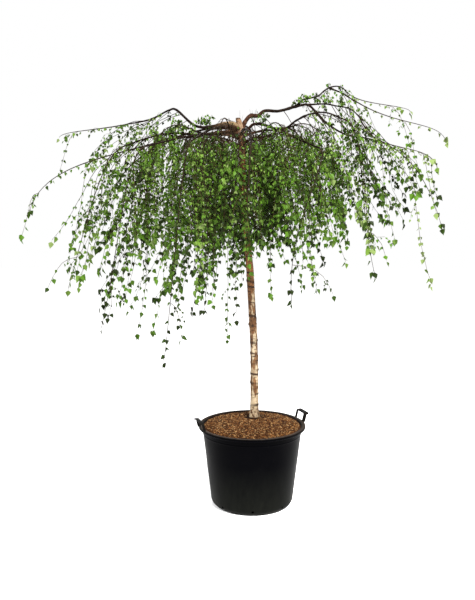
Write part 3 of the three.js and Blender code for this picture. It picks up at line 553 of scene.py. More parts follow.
class Spray:
    """Leaves and twigs of one mass, gathered and then made into two meshes."""

    def __init__(self, mass):
        self.mass = mass
        self.growth = {**GROWTH, **RING_GROWTH[mass["ring"]], **OWN_GROWTH.get(mass["name"], {})}
        self.random = seeded(mass["seed"] * 7919 + 13)
        self.twigs = Bundle()
        self.leaves = []

    def twig(self, points, radii, slot, sides=3):
        self.twigs.add(*tube(points, np.linspace(*radii, len(points)), sides), slot)

    def dress(self, points, gap, first, tone, sizes, pairs):
        """Leaves along a twig: one to three from each bud, on alternate sides, and one on its tip."""
        random = self.random
        along = travelled(points)
        tangent = unit(points[-1] - points[0])
        level = np.cross(tangent, UP)
        level = unit(level) if np.linalg.norm(level) > 0.2 else turned(EAST, 360 * random())
        at = first
        side = 1 if random() < 0.5 else -1
        while at < along[-1]:
            root = point_on(points, along, at)
            size = lerp(*sizes, (at / along[-1]) ** 3)
            for k in range(1 + (random() < pairs) + (random() < 0.3 * pairs)):
                self.leaf(root, tangent, turned(level, 80 * random() - 40 + 110 * k) * side, tone, size)
            at += gap * (0.7 + 0.6 * random())
            side = -side
        self.leaf(points[-1], tangent, level * side * 0.3, tone, sizes[1] * 0.9)

    def leaf(self, root, tangent, side, tone, size):
        """One leaf, which leans out to its side and hangs, in its spray's tone or the one next to it."""
        random = self.random
        droop = 0.45 + 0.9 * random()
        direction = unit(tangent * 0.35 + side * (0.4 + 0.6 * random()) - UP * droop)
        facing = np.array([random() - 0.5, random() - 0.5, 0.0]) * 2 + outward_at(root) * 0.3
        facing = facing + UP * (0.7 * random() - 0.1)
        normal = unit(facing - direction * (facing @ direction))
        length = size * self.growth["leaf"] * (1 + LEAF["spread"] * (2 * random() - 1))
        shift = int(random() * 5) - 2
        shade = min(len(LEAF_TONES) - 1, max(0, tone + (shift if abs(shift) == 1 else 0)))
        self.leaves.append((root, direction, normal, length, shade, int(random() * len(LEAF_SHAPES))))

    def short_twig(self, control, slot, gap, first, tone, pairs):
        points = bezier(control, np.linspace(0, 1, 4))
        self.twig(points, TWIG["spray"], slot)
        self.dress(points, gap, first, tone, LEAF["spray"], pairs)

    def side_twig(self, root, outward, length, tone, rise=0.3):
        """A short twig that arches out from its root and droops."""
        random = self.random
        end = root + outward * length * 0.6 - UP * length * (0.25 + 0.6 * random())
        arch = (root, root + unit(outward + UP * rise) * length * 0.4, end + UP * length * 0.16, end)
        self.short_twig(arch, 0, LEAF["spray_gap"], 12 + 10 * random(), tone, 0.5)

    def tuft(self, root, count, height):
        """Short twigs that stand up from a bough, thick with leaves."""
        random = self.random
        for _ in range(count):
            outward = turned(EAST, 360 * random())
            end = root + outward * height * 0.5 * random() + UP * height * (0.5 + 0.5 * random())
            stand = (root, root + UP * height * 0.3, end - UP * height * 0.2, end)
            self.short_twig(stand, 1, 13, 9, self.tone(end), 0.8)

    def strand(self, control, radii, bare=0.08):
        """A long hanging twig with side twigs along its upper part and leaves all the way down."""
        random, growth = self.random, self.growth
        length = steps_of(bezier(control, np.linspace(0, 1, 9))).sum()
        count = max(6, int(length / TWIG["step"]))
        wobble = np.array([[random() - 0.5, random() - 0.5, 0] for _ in range(count)]) * 2 * TWIG["kink"]
        wobble[0] = 0
        points = bezier(control, np.linspace(0, 1, count)) + wobble
        self.twig(points, radii, int(radii[0] > TWIG["stout"]))
        tone = self.tone(points[count // 2])
        self.dress(points, growth["gap"], max(18, bare * length), tone, LEAF["strand"], 0.6)
        at = max(36, bare * length) + 40 * random()
        side = 1
        while at < 0.86 * length:
            root = bezier(control, at / length)[0]
            outward = turned(outward_at(root), side * (40 + 90 * random()))
            self.side_twig(root, outward, (135 - 90 * at / length) * (0.5 + 0.6 * random()), tone)
            at += growth["side_gap"] * (0.6 + 0.8 * random()) * (1 + 0.8 * at / length)
            side = -side

    def finer_twig(self, root, run):
        """A further hanging twig: it runs outwards, then falls a seeded share of the way to the hem."""
        mass, growth, random = self.mass, self.growth, self.random
        azimuth = lerp(*mass["wedge"], 0.04 + 0.92 * random())
        start = reach_of(root)
        reach = min(max(tip[0] for tip in mass["tips"]) - growth["short"], start + lerp(*run, random()))
        sideways = math.degrees(math.atan2(root[1] - HEAD[1], root[0] - HEAD[0]))
        turn = (azimuth - sideways + 180) % 360 - 180
        most = math.degrees(170 / max(start, 60))
        share = lerp(*growth["fall"], random() ** 0.8)
        depth = max(130, (root[2] - HEAD[2] - mass["hem"]) * share)
        end = twig_end((reach, root[2] - HEAD[2] - depth, sideways + max(-most, min(most, turn))))
        return hanging_twig(root, end, lerp(*growth["rise"], random()), lerp(*growth["splay"], random()))

    def along(self, line, gap, first, last, longest):
        """Side twigs that stand out all round a leader or bough."""
        random = self.random
        along = travelled(line)
        at, end = first * along[-1], last * along[-1]
        side = 1
        while at < end:
            root = point_on(line, along, at)
            outward = turned(outward_at(root), side * (30 + 110 * random()))
            rise = 1.4 if random() < 0.16 else 0.1 + 0.4 * random()
            self.side_twig(root, outward, longest * (0.35 + 0.65 * random()), self.tone(root), rise)
            at += gap * (0.6 + 0.8 * random())
            side = -side

    def tone(self, point):
        """A leaf colour for a spray, as painted light and shade: lighter on the crown's outside and top,
        darker within.
        """
        # Painted light and shade: sprays further out and higher take lighter tones, those deep in the crown
        # darker ones.
        light = 0.33 + 0.0003 * (reach_of(point) - 560) + 0.0003 * (point[2] - HEAD[2] + 400)
        light += 0.8 * (self.random() - 0.4)
        return int(min(len(LEAF_TONES) - 1, max(0, light * len(LEAF_TONES))))

    def leaf_object(self, stretches):
        """All leaves as one mesh, without those in a limb, in the bare heart or right before the stem."""
        roots, directions, normals, lengths, tones, shapes = map(np.array, zip(*self.leaves))
        middles = roots + directions * (lengths * 0.8)[:, None]
        keep = clear_of(stretches, middles) & self.parted(middles) & self.beyond_heart(middles)
        axes = np.stack([np.cross(directions, normals), directions, normals], 1)
        bundle = Bundle()
        for k, shape in enumerate(LEAF_SHAPES):
            vertices, faces = leaf_template(**shape)
            chosen = keep & (shapes == k)
            placed = roots[chosen][:, None] + lengths[chosen][:, None, None] * (vertices @ axes[chosen])
            faces_of_all = faces + np.arange(len(placed))[:, None, None] * len(vertices)
            slots = np.repeat(tones[chosen], len(faces))
            bundle.add(placed.reshape(-1, 3), faces_of_all.reshape(-1, 3), slots)
        return bundle.object("leaves_" + self.mass["name"], LEAF_MATERIALS, smooth=False)

    def lots(self, count):
        return np.array([self.random() for _ in range(count)])

    def parted(self, points):
        """Which leaves stay: the front of the crown is thinner where it hangs before the stem."""
        stem_x = np.interp(points[:, 2], TRUNK[:, 0], TRUNK[:, 1])
        aside, height = np.abs(points[:, 0] - stem_x + 6), points[:, 2] - HEAD[2]
        share = np.zeros(len(points))
        for parting in PARTINGS:
            before = (aside < parting["half_width"]) & (height > parting["low"]) & (height < parting["high"])
            share = np.maximum(share, parting["share"] * (before & (points[:, 1] < HEAD[1])))
        return self.lots(len(points)) >= share

    def beyond_heart(self, points):
        """Which leaves stay: few grow among the thick boughs round the head or above the shoulder."""
        away = points - HEAD
        reach = np.hypot(away[:, 0], away[:, 1])
        azimuth = np.degrees(np.arctan2(away[:, 1], away[:, 0]))

        def within(wedge):
            return (azimuth - wedge[0]) % 360 < wedge[1] - wedge[0]

        bare = np.zeros(len(points))
        for heart in HEARTS:
            near = rising(reach, heart["reach"], -HEART_FADE["reach"])
            high = rising(away[:, 2], -heart["depth"], HEART_FADE["depth"])
            bare = np.where(within(heart["wedge"]), near * high, bare)
        above = rising(away[:, 2] + SHOULDER["slope"] * reach, SHOULDER["top"], SHOULDER["fade"])
        nearest, furthest = SHOULDER["reach"]
        above = above * (within(SHOULDER["wedge"]) & (reach > nearest) & (reach < furthest))
        bare = np.maximum(bare, above * SHOULDER["share"][self.mass["ring"]])
        return self.lots(len(points)) > bare


def grow(mass, lines):
    """One mass by the source's rule, carried on to side twigs and leaves of real size."""
    spray = Spray(mass)
    random, growth = spray.random, spray.growth
    limb = lines.get(mass["limb"])
    leader = leader_of(mass, lines)
    points = bezier(leader, np.linspace(0, 1, 18))
    spray.twig(points, (limb["radius"][1] if limb else INNER["radius"], TWIG["leader_tip"]), 1, 6)
    bare = 0.03 if limb else 0.25
    spray.dress(points, growth["gap"], bare * 500, spray.tone(points[9]), LEAF["strand"], 0.6)
    spray.along(points, growth["along_gap"], bare, growth["along_end"], growth["along_reach"])
    for index in range(mass["twigs"]):
        spray.strand(twig_of(mass, index, leader), TWIG["strand"])
    for index in range(growth["leader"]):
        share = lerp(bare, growth["leader_end"], (index + random()) / growth["leader"])
        root = bezier(leader, share)[0]
        spray.strand(spray.finer_twig(root, TWIG["run"]), TWIG["strand"])
    if limb:
        line = limb["line"]
        for index in range(growth["arches"]):
            share = lerp(growth["arch_from"], 1, (index + random()) / growth["arches"])
            root = line[int(share * (len(line) - 1))]
            spray.strand(spray.finer_twig(root, growth["arch_reach"]), TWIG["arch"], growth["bare"])
        spray.along(line, growth["bough_gap"], 0.5, 1, 120)
        for share, count, height in TUFTS.get(mass["limb"], []):
            spray.tuft(line[int(share * (len(line) - 1))], count, height)
    return spray


def linear(*rgb):
    """A plain colour in linear light, from its sRGB values in daylight."""
    return (*(((c / 255 + 0.055) / 1.055) ** 2.4 if c > 10 else c / 255 / 12.92 for c in rgb), 1.0)


# Leaf colours from dark to light, which Spray.tone deals out as painted light and shade over the crown.
LEAF_TONES = [(17, 26, 4), (28, 43, 8), (39, 59, 11), (51, 77, 17), (63, 84, 29), (78, 92, 50)]
# Chip colours; the last and darkest one also serves as painted shadow near the stem.
CHIP_TONES = [(38, 22, 10), (62, 37, 17), (80, 49, 24), (100, 66, 35), (124, 96, 63), (18, 10, 5)]
CURL_TONES = [(146, 132, 112), (124, 106, 84), (82, 62, 42)]


def shader(name, colour, roughness, specular):
    """A material with its Principled shader set plainly; returns both."""
    material = bpy.data.materials.new(name)
    material.use_nodes = True
    bsdf = material.node_tree.nodes["Principled BSDF"]
    bsdf.inputs["Base Color"].default_value = colour
    bsdf.inputs["Roughness"].default_value = roughness
    bsdf.inputs["Specular IOR Level"].default_value = specular
    return material, bsdf


def plain_materials(name, tones, roughness, specular):
    """A plain material for each tone, numbered from 1."""
    return [shader(f"{name}_{i + 1}", linear(*tone), roughness, specular)[0] for i, tone in enumerate(tones)]


class Pattern:
    """A patterned material, with short calls for its nodes. Colours are given by their sRGB values."""

    def __init__(self, name, tone, roughness, specular):
        self.material, self.bsdf = shader(name, linear(*tone), roughness, specular)
        self.place = self.node("ShaderNodeTexCoord").outputs["Object"]

    def feed(self, node, inputs):
        """Sets a node's inputs, or links those that are given an output."""
        for name, value in inputs.items():
            if hasattr(value, "links"):
                self.material.node_tree.links.new(value, node.inputs[name])
            else:
                node.inputs[name].default_value = value

    def node(self, kind, inputs=None, **settings):
        node = self.material.node_tree.nodes.new(kind)
        for key, value in settings.items():
            setattr(node, key, value)
        self.feed(node, inputs or {})
        return node

    def noise(self, scale, detail, rough, tall=1):
        """Noise, drawn out upwards where tall is under 1 and squeezed where it is over 1."""
        place = self.place
        if tall != 1:
            place = self.node("ShaderNodeMapping", dict(Vector=place, Scale=(1, 1, tall))).outputs["Vector"]
        inputs = dict(Vector=place, Scale=scale, Detail=detail, Roughness=rough)
        return self.node("ShaderNodeTexNoise", inputs).outputs["Fac"]

    def ramp(self, factor, *stops):
        """Colours, or plain shares from 0 to 1, at their positions."""
        node = self.node("ShaderNodeValToRGB", dict(Fac=factor))
        elements = node.color_ramp.elements
        for _ in stops[2:]:
            elements.new(0.5)
        for element, (position, tone) in zip(elements, stops):
            element.position = position
            element.color = (tone, tone, tone, 1) if np.isscalar(tone) else linear(*tone)
        return node.outputs["Color"]

    def mix(self, factor, a, b, blend="MIX"):
        b = b if hasattr(b, "links") else linear(*b)
        inputs = {"Factor": factor, 6: a, 7: b}
        return self.node("ShaderNodeMix", inputs, data_type="RGBA", blend_type=blend).outputs[2]

    def painted(self, name):
        """The red, green and blue that are painted on the mesh's points."""
        colour = self.node("ShaderNodeAttribute", attribute_name=name).outputs["Color"]
        return list(self.node("ShaderNodeSeparateColor", dict(Color=colour)).outputs)

    def roughen(self, factor, low, high):
        node = self.node("ShaderNodeMapRange", {"Value": factor, "To Min": low, "To Max": high})
        self.feed(self.bsdf, {"Roughness": node.outputs["Result"]})

    def finished(self, colour, relief, strength, distance):
        """The material with its colour and its fine bump."""
        bump = self.node("ShaderNodeBump", dict(Height=relief, Strength=strength, Distance=distance))
        self.feed(self.bsdf, {"Base Color": colour, "Normal": bump.outputs["Normal"]})
        return self.material


def stem_bark():
    """Papery bark: cream and tan with brown where it has peeled, rusty towards the head."""
    bark = Pattern("stem_bark", (136, 120, 98), 0.75, 0.15)
    # The dark and peeled channels also carry painted shade down the stem's sides.
    dark, peeled, rust = bark.painted("bark")
    papery = bark.ramp(bark.noise(26, 5, 0.65, 0.22),
                       (0.3, (104, 88, 68)), (0.48, (138, 122, 98)), (0.7, (168, 153, 130)))
    brown = bark.ramp(bark.noise(40, 5, 0.65, 0.3),
                      (0.3, (44, 27, 13)), (0.52, (84, 55, 31)), (0.75, (120, 89, 58)))
    rusty = bark.ramp(bark.noise(34, 5, 0.65, 0.5),
                      (0.3, (46, 26, 11)), (0.52, (104, 64, 32)), (0.75, (156, 112, 66)))
    black = bark.ramp(bark.noise(60, 3, 0.6), (0.3, (17, 9, 4)), (0.7, (46, 27, 13)))
    colour = bark.mix(peeled, papery, bark.mix(rust, brown, rusty))
    lines = bark.ramp(bark.noise(34, 3, 0.5, 8), (0.6, 0), (0.65, 0.8))
    colour = bark.mix(lines, colour, (54, 38, 25))
    streaks = bark.ramp(bark.noise(120, 3, 0.6, 0.15), (0.5, 0), (0.66, 0.55))
    colour = bark.mix(streaks, colour, (84, 66, 46))
    fine = bark.noise(130, 4, 0.7, 0.6)
    bark.roughen(fine, 0.6, 0.95)
    return bark.finished(bark.mix(dark, colour, black), fine, 0.6, 0.0015)


def limb_bark():
    """Young birch wood: near black brown, and warmer where it is painted as old wood by the head."""
    bark = Pattern("limb_bark", (17, 11, 8), 0.8, 0.02)
    old, tan, _ = bark.painted("bark")
    grain = bark.noise(60, 4, 0.6)
    young_wood = bark.ramp(grain, (0.3, (9, 6, 4)), (0.55, (17, 11, 8)), (0.8, (34, 25, 18)))
    old_wood = bark.ramp(grain, (0.3, (24, 15, 10)), (0.55, (48, 30, 21)), (0.8, (84, 62, 47)))
    tan_wood = bark.ramp(grain, (0.3, (68, 52, 35)), (0.7, (106, 90, 66)))
    colour = bark.mix(tan, bark.mix(old, young_wood, old_wood), tan_wood)
    return bark.finished(colour, bark.noise(150, 4, 0.7), 0.6, 0.001)


def pot_plastic():
    """Recycled black plastic: faint mould texture, a painted highlight along the rim's top, wear along the
    foot and dust, where they are painted.
    """
    plastic = Pattern("pot_plastic", (2, 2, 3), 0.45, 0.012)
    wear_and_highlight, dusty, _ = plastic.painted("wear_and_highlight")
    cloud, rubs = plastic.noise(6, 6, 0.6), plastic.noise(42, 5, 0.7, 0.3)
    colour = plastic.ramp(cloud, (0.3, (0, 0, 1)), (0.6, (1, 1, 2)), (0.85, (5, 5, 5)))
    colour = plastic.mix(plastic.ramp(rubs, (0.64, 0), (0.76, 0.4)), colour, (18, 18, 17))
    # The first painted channel is a painted highlight along the rim's top and wear along the foot; the second
    # is dust.
    for share, breaks, tone in (
        (wear_and_highlight, [(0.3, 0.2), (0.65, 1)], (58, 50, 43)),
        (dusty, [(0.25, 0.5), (0.7, 1)], (17, 18, 15)),
    ):
        broken = plastic.mix(1.0, share, plastic.ramp(rubs, *breaks), "MULTIPLY")
        colour = plastic.mix(broken, colour, tone)
    plastic.roughen(cloud, 0.3, 0.52)
    return plastic.finished(colour, plastic.noise(420, 2, 0.5), 0.25, 0.0004)


def crumbs():
    """The damp, dark compost under the chips."""
    compost = Pattern("compost", (56, 36, 20), 0.95, 0.05)
    grain = compost.noise(160, 4, 0.7)
    colour = compost.ramp(grain, (0.3, (18, 10, 5)), (0.55, (54, 31, 14)), (0.8, (84, 54, 27)))
    return compost.finished(colour, grain, 0.8, 0.003)


# Knots and rings of the bare stem: height, azimuth, how far each stands out, how tall its mark is, and
# how much of the way round it goes.
KNOTS = [
    (1250, 250, 2.6, 8, 0.8), (1205, 200, 3.6, 9, 0.9), (1175, 270, 2.0, 7, 1.0), (1090, 262, 1.4, 5, 0.3),
    (1016, 240, 2.8, 9, 1.0), (967, 180, 5.5, 9, 0.15), (884, 352, 2.8, 6, 0.1), (870, 225, 2.2, 9, 0.7),
    (811, 200, 3.2, 8, 0.8), (770, 330, 2.0, 6, 0.3), (718, 352, 3.4, 8, 0.2), (696, 220, 3.0, 8, 1.0),
    (646, 205, 3.4, 8, 0.6), (585, 330, 2.4, 6, 0.3), (524, 320, 3.0, 9, 0.5), (900, 90, 2.5, 8, 0.3),
    (1120, 70, 2.5, 9, 0.4), (760, 110, 2.0, 7, 0.3), (620, 60, 2.4, 8, 0.4), (1340, 260, 2.5, 8, 0.6),
    (1475, 300, 2.2, 7, 0.6), (1610, 230, 2.6, 8, 0.4), (1790, 280, 2.4, 8, 0.6),
]
# The bark's thickness over the solid stem, and the heights of the flare and the knuckle. A pair is the height
# where a change starts and its run, under 0 where it runs downwards: the bark's thickness from its end, rust,
# scars, the scars again from the smooth wood down, and the dark pruned top.
BARK = dict(thickness=1.7, flare=80, knuckle=1975, end=(1900, -300), rust=(1120, 220), scars=(700, 100),
            smooth=(1330, -150), pruned=(2054, 5))
# How much browner the stem gets upwards: the share, the height where it starts, and the run.
BROWNING = [(0.18, 560, 300), (0.13, 720, 80), (0.16, 860, 120)]
# The pruned top of the knuckle: rings by their share of its radius and their rise.
STEM_CAP = [(0.8, 2.5), (0.4, 3.5), (0.02, 3.8)]


def paint(piece, name, *channels):
    """Paints red, green and blue on a piece's points, each a number or a value for each point."""
    colours = np.ones((len(piece.data.vertices), 4), np.float32)
    for k, channel in enumerate(channels):
        colours[:, k] = channel
    layer = piece.data.color_attributes.new(name, "FLOAT_COLOR", "POINT")
    layer.data.foreach_set("color", colours.ravel())


def wave(points, scale, seed=0):
    """Smooth noise from -1 to 1 at each point, stretched by scale along each axis."""
    scaled = points * np.asarray(scale) + seed * 17.3
    return np.array([noise.noise(p) for p in scaled])


def knots(heights, angles, lumps):
    """How far the knots and rings stand out from the stem, and how dark they are."""
    raised, dark = 0, 0
    for height, azimuth, proud, tall, round_it in KNOTS:
        around = np.cos(angles - math.radians(azimuth))
        off = (heights - height - 0.5 * tall * around - 4 * lumps) / tall
        raised = raised + proud * np.exp(-(off**2)) * np.clip(1.4 * around - 0.4, 0.15 * round_it, 1)
        facing = lerp(round_it, 1, clamp(1.6 * around - 0.6))
        dark = np.maximum(dark, clamp(1.5 * np.exp(-((off / 0.7) ** 2))) * facing)
    return raised, dark


def stem():
    """The stem with its bark's relief, rings, knots and peeling, and its painted colours, with painted shade
    down its sides.
    """
    rings, sides, smoothing = 620, 84, 15
    foot, top = TRUNK[0, 0], TRUNK[-1, 0]
    levels = np.linspace(foot, top, rings)

    def smoothed(column):
        padded = np.pad(np.interp(levels, TRUNK[:, 0], TRUNK[:, column]), smoothing // 2, "edge")
        return np.convolve(padded, np.ones(smoothing) / smoothing, "valid")[:, None]

    middle_x, middle_y, radius = (smoothed(k) for k in (1, 2, 3))
    heights, angles = np.meshgrid(levels, np.arange(sides) * 2 * math.pi / sides, indexing="ij")
    surface = np.stack([np.cos(angles) * 20, np.sin(angles) * 20, heights], -1).reshape(-1, 3)

    def pattern(around, up, seed):
        return wave(surface, (around, around, up), seed).reshape(heights.shape)

    lumps, ridges, spots = pattern(0.03, 0.008, 0), pattern(0.05, 0.16, 1), pattern(0.14, 0.1, 4)
    patches = pattern(0.055, 0.013, 2) + 0.35 * pattern(0.16, 0.06, 3)
    proud, knot_dark = knots(heights, angles, lumps)
    flare = rising(heights, foot + BARK["flare"], -BARK["flare"])
    high = rising(heights, *BARK["rust"])
    head = heights > BARK["knuckle"]
    # Painted shade: the stem's sides towards +X and -X, its edges as seen from the front, are made browner
    # and darker.
    painted_side_shade = np.abs(np.cos(angles)) ** 6
    low = clamp(2.5 * flare)
    brown = sum(share * rising(heights, start, run) for share, start, run in BROWNING)
    # The sides also turn browner here as painted shade.
    brown = patches + brown + 0.5 * high + 0.5 * painted_side_shade - 0.12
    peeled = clamp(brown / 0.1)
    reach = radius + BARK["thickness"] * rising(heights, *BARK["end"])
    reach = reach + 3.5 * flare * np.cos(5 * angles) + lumps + 0.3 * ridges + proud - 0.7 * peeled
    scarred = rising(heights, *BARK["scars"]) * rising(heights, *BARK["smooth"])
    dark = np.maximum.reduce([
        knot_dark,
        0.4 * rising(ridges, 0.34, 0.2),
        clamp(6 * flare - 5.4),
        low * np.clip(3 * spots - 0.5, 0, 0.8),
        scarred * np.clip(2.6 * ridges + 1.2 * patches - 0.2, 0, 0.85),
        # Painted shade down the stem's sides.
        painted_side_shade * np.clip(0.35 + 0.9 * patches, 0, 0.7),
        0.42 * clamp(1 - np.abs(brown) / 0.05),
        0.5 * high * clamp(0.4 + ridges + patches),
        np.minimum(rising(heights, *BARK["pruned"]), 0.85),
    ])
    peeled = lerp(peeled, clamp(0.15 + 2.5 * spots), low)
    peeled = np.where(head, 0.55 + 0.45 * clamp(0.5 + patches + 0.5 * np.cos(angles)), peeled)
    vertices = np.stack([middle_x + np.cos(angles) * reach, middle_y + np.sin(angles) * reach, heights], -1)
    centre = vertices[-1].mean(0)
    caps = [centre + (vertices[-1] - centre) * share + UP * rise for share, rise in STEM_CAP]
    faces = tube_faces(rings + len(caps), sides)
    piece = mesh_object("stem_with_bark", np.concatenate([*vertices, *caps]), faces, [stem_bark()])
    cut = np.ones(sides * len(caps))
    rust = np.where(head, 0.35, high)
    paint(piece, "bark", *(np.append(a, cut * b) for a, b in ((dark, 0.7), (peeled, 0.8), (rust, 0.3))))
    place(piece, "stem_bark", "trunk")


# Loose strips of bark: how many, the steps of each, and the heights between which they are.
CURLS = dict(count=44, steps=5, heights=(490, 1290))


def peeling_bark():
    """Papery strips that have come loose and curl away from the stem."""
    random = seeded(4242)
    bundle = Bundle()
    steps = CURLS["steps"]
    t = np.repeat(np.arange(steps + 1) / steps, 2)
    edges = np.tile([-1, 1], steps + 1)
    k = 2 * np.arange(steps)
    faces = np.concatenate([np.stack([k, k + 2, k + 3], -1), np.stack([k, k + 3, k + 1], -1)])
    for _ in range(CURLS["count"]):
        z = lerp(*CURLS["heights"], random() ** 1.1)
        centre, radius = trunk_at(z)
        start = 2 * math.pi * random()
        sweep = (0.16 + 0.3 * random()) * (1 if random() < 0.5 else -1)
        tall = 8 + 24 * random() ** 1.6
        out = radius + 1.0 + (0.8 + 2.6 * random()) * t**2
        ragged = np.array([2.5 * (random() - 0.5) for _ in edges])
        a = start + sweep * t
        height = edges * tall * (1 - 0.4 * t) / 2 + ragged
        strip = centre + np.stack([np.cos(a) * out, np.sin(a) * out, height], -1)
        bundle.add(strip, faces, int(random() * len(CURL_TONES)))
    place(bundle.object("peeling_bark", plain_materials("bark_curl", CURL_TONES, 0.8, 0.2)), "stem_bark")


def bough(name, limb):
    """One bough as a tapering limb with knuckles where its twigs leave and fine bark relief."""
    line, sides = limb["line"], 12
    length = steps_of(line).sum()
    rings = int(length / 6)
    share = np.linspace(0, 1, rings)
    points = point_on(line, np.arange(len(line)), share * (len(line) - 1))
    radius = lerp(*limb["radius"], share**0.8) * (1 + 0.35 * np.exp(-share * length / 30))
    random = seeded(len(name) * 131 + rings)
    for _ in range(int(length / 55)):
        radius *= 1 + 0.16 * np.exp(-(((share - random()) * length / 7) ** 2))
    apart = np.repeat(points, sides, 0) + np.tile(np.arange(sides), rings)[:, None] * 9.0
    bumps = wave(apart, 0.045).reshape(rings, sides)
    vertices, faces = tube(points, radius[:, None] * (1 + 0.09 * bumps), sides)
    piece = mesh_object("limb_" + name, vertices, faces, [LIMB_BARK])
    reach = np.linalg.norm((vertices - HEAD)[:, :2], axis=1)
    tan = clamp(1.4 - reach / 95) * (name == "left_arch")
    paint(piece, "bark", clamp(1.2 - reach / 150), tan, 0)
    place(piece, "bough_bark", "bough_" + name)


def lathe(profile, sides):
    """A profile of (radius, height) turned about the vertical: vertices and triangles."""
    a = np.arange(sides) * 2 * math.pi / sides
    r, z = (np.array(column, float)[:, None] for column in zip(*profile))
    vertices = np.stack([r * np.cos(a), r * np.sin(a), z + 0 * a], -1)
    return vertices.reshape(-1, 3), tube_faces(len(profile), sides, False)


def arc(x, z, radius, first, last, count):
    turns = (math.radians(t) for t in np.linspace(first, last, count))
    return [(x + radius * math.cos(turn), z + radius * math.sin(turn)) for turn in turns]


def cut_with(piece, cutters):
    """Cuts holes in a piece and keeps the result as its own mesh."""
    for cutter in cutters:
        modifier = piece.modifiers.new("cut", "BOOLEAN")
        modifier.object = cutter
        modifier.operation = "DIFFERENCE"
        modifier.solver = "EXACT"
    graph = bpy.context.evaluated_depsgraph_get()
    mesh = bpy.data.meshes.new_from_object(piece.evaluated_get(graph))
    piece.modifiers.clear()
    piece.data = mesh
    for cutter in cutters:
        bpy.data.objects.remove(cutter)


def wall_at(z):
    """The outside radius of the tub's wall at a height."""
    return np.interp(z, [POT["corner"], POT["height"] - POT["drop"]], [POT["wall_foot"], POT["wall_top"]])


def tub_profile():
    """Half the tub's section: from its middle out and up the wall, over the rim and down inside."""
    h, rim, foot, corner = (POT[k] for k in ("height", "rim", "foot", "corner"))
    profile = [(1, 0), (foot - 22, 0), (foot - 20, 2.5), (foot - 10, 2.5), (foot - 8, 0), (foot - 2, 0)]
    profile += arc(POT["wall_foot"] - 30, corner, 30, -66, -6, 9)
    profile += [(wall_at(z), z) for z in np.linspace(corner + 4, h - 52, 24)]
    bead = [(0.2, 0), (1.4, 1.5), (1.5, 4), (0.4, 6)]
    profile += [(wall_at(h - 50) + out, h - 50 + up) for out, up in bead]
    profile += [(wall_at(z), z) for z in (h - 40, h - 32, h - 24)]
    profile += [(wall_at(h - 21) + 1, h - 21), (rim - 12, h - 18), (rim - 4, h - 16)]
    profile += arc(rim - 4, h - 12, 4, -70, 10, 5) + arc(rim - 6, h - 6, 6, 0, 90, 7)
    profile += [(rim - 12, h - 0.3), (rim - 15, h - 1.2)]
    profile += [(wall_at(z) - POT["wall"], z) for z in np.linspace(h - 6, corner, 10)]
    return profile + [(foot - POT["wall"], POT["floor"]), (1, POT["floor"])]


def drill(azimuth):
    """A closed rod where a drain hole goes through the foot."""
    sides, half = 20, 40
    out = turned(EAST, azimuth)
    middle = out * (POT["foot"] + 2) + UP * DRAIN["height"]
    rod = np.array([middle - out * half, middle, middle + out * half])
    vertices, faces = tube(rod, np.full(3, DRAIN["radius"]), sides)
    fan = np.arange(1, sides - 1)
    start = np.stack([0 * fan, fan + 1, fan], -1)
    return mesh_object("drill", vertices, np.concatenate([faces, start]), [POT_PLASTIC])


def container():
    """The tub: rounded foot with drain holes, tapered wall with a bead, and a rolled rim."""
    piece = mesh_object("tub", *lathe(tub_profile(), 192), [POT_PLASTIC])
    cut_with(piece, [drill(DRAIN["turn"] + 360 / DRAIN["count"] * i) for i in range(DRAIN["count"])])
    x, y, z = np.array([v.co for v in piece.data.vertices]).T / MM
    out = np.hypot(x, y)
    # Painted highlight: the top of the rim takes a lighter colour; near the bottom of the foot the plastic is
    # rubbed.
    wear_and_highlight = 0.75 * rising(z, POT["height"] - 4, 4) * (out > wall_at(POT["height"]))
    wear_and_highlight = np.maximum(wear_and_highlight, 0.25 * np.exp(-(((z - 4) / 10) ** 2)))
    outside = np.minimum(wall_at(z) - 1, POT["foot"] - 4 + np.maximum(0, z - POT["corner"]) * 9)
    paint(piece, "wear_and_highlight", wear_and_highlight, np.clip(0.9 - z / 300, 0, 0.9) * (out > outside))
    place(piece, "container_plastic", "pot")


def prism(outline, near, far):
    """An outline in the handle's plane given thickness: vertices and faces."""
    count = len(outline)
    vertices = [(x, -near, z) for x, z in outline] + [(x, -far, z) for x, z in outline]
    faces = [tuple(range(count))[::-1], tuple(range(count, 2 * count))]
    faces += [(i, (i + 1) % count, (i + 1) % count + count, i + count) for i in range(count)]
    return vertices, faces


def arch_outline(inset, corner, foot=-4):
    """Half way round a handle: up one leg, over the bar and down the other, set in from the outside."""
    half, height = HANDLE["width"] / 2 - inset, HANDLE["height"] - min(inset, HANDLE["bar"])
    path = [(-half, foot)] + arc(corner - half, height - corner, corner, 180, 90, 7)
    return path + arc(half - corner, height - corner, corner, 90, 0, 7) + [(half, foot)]


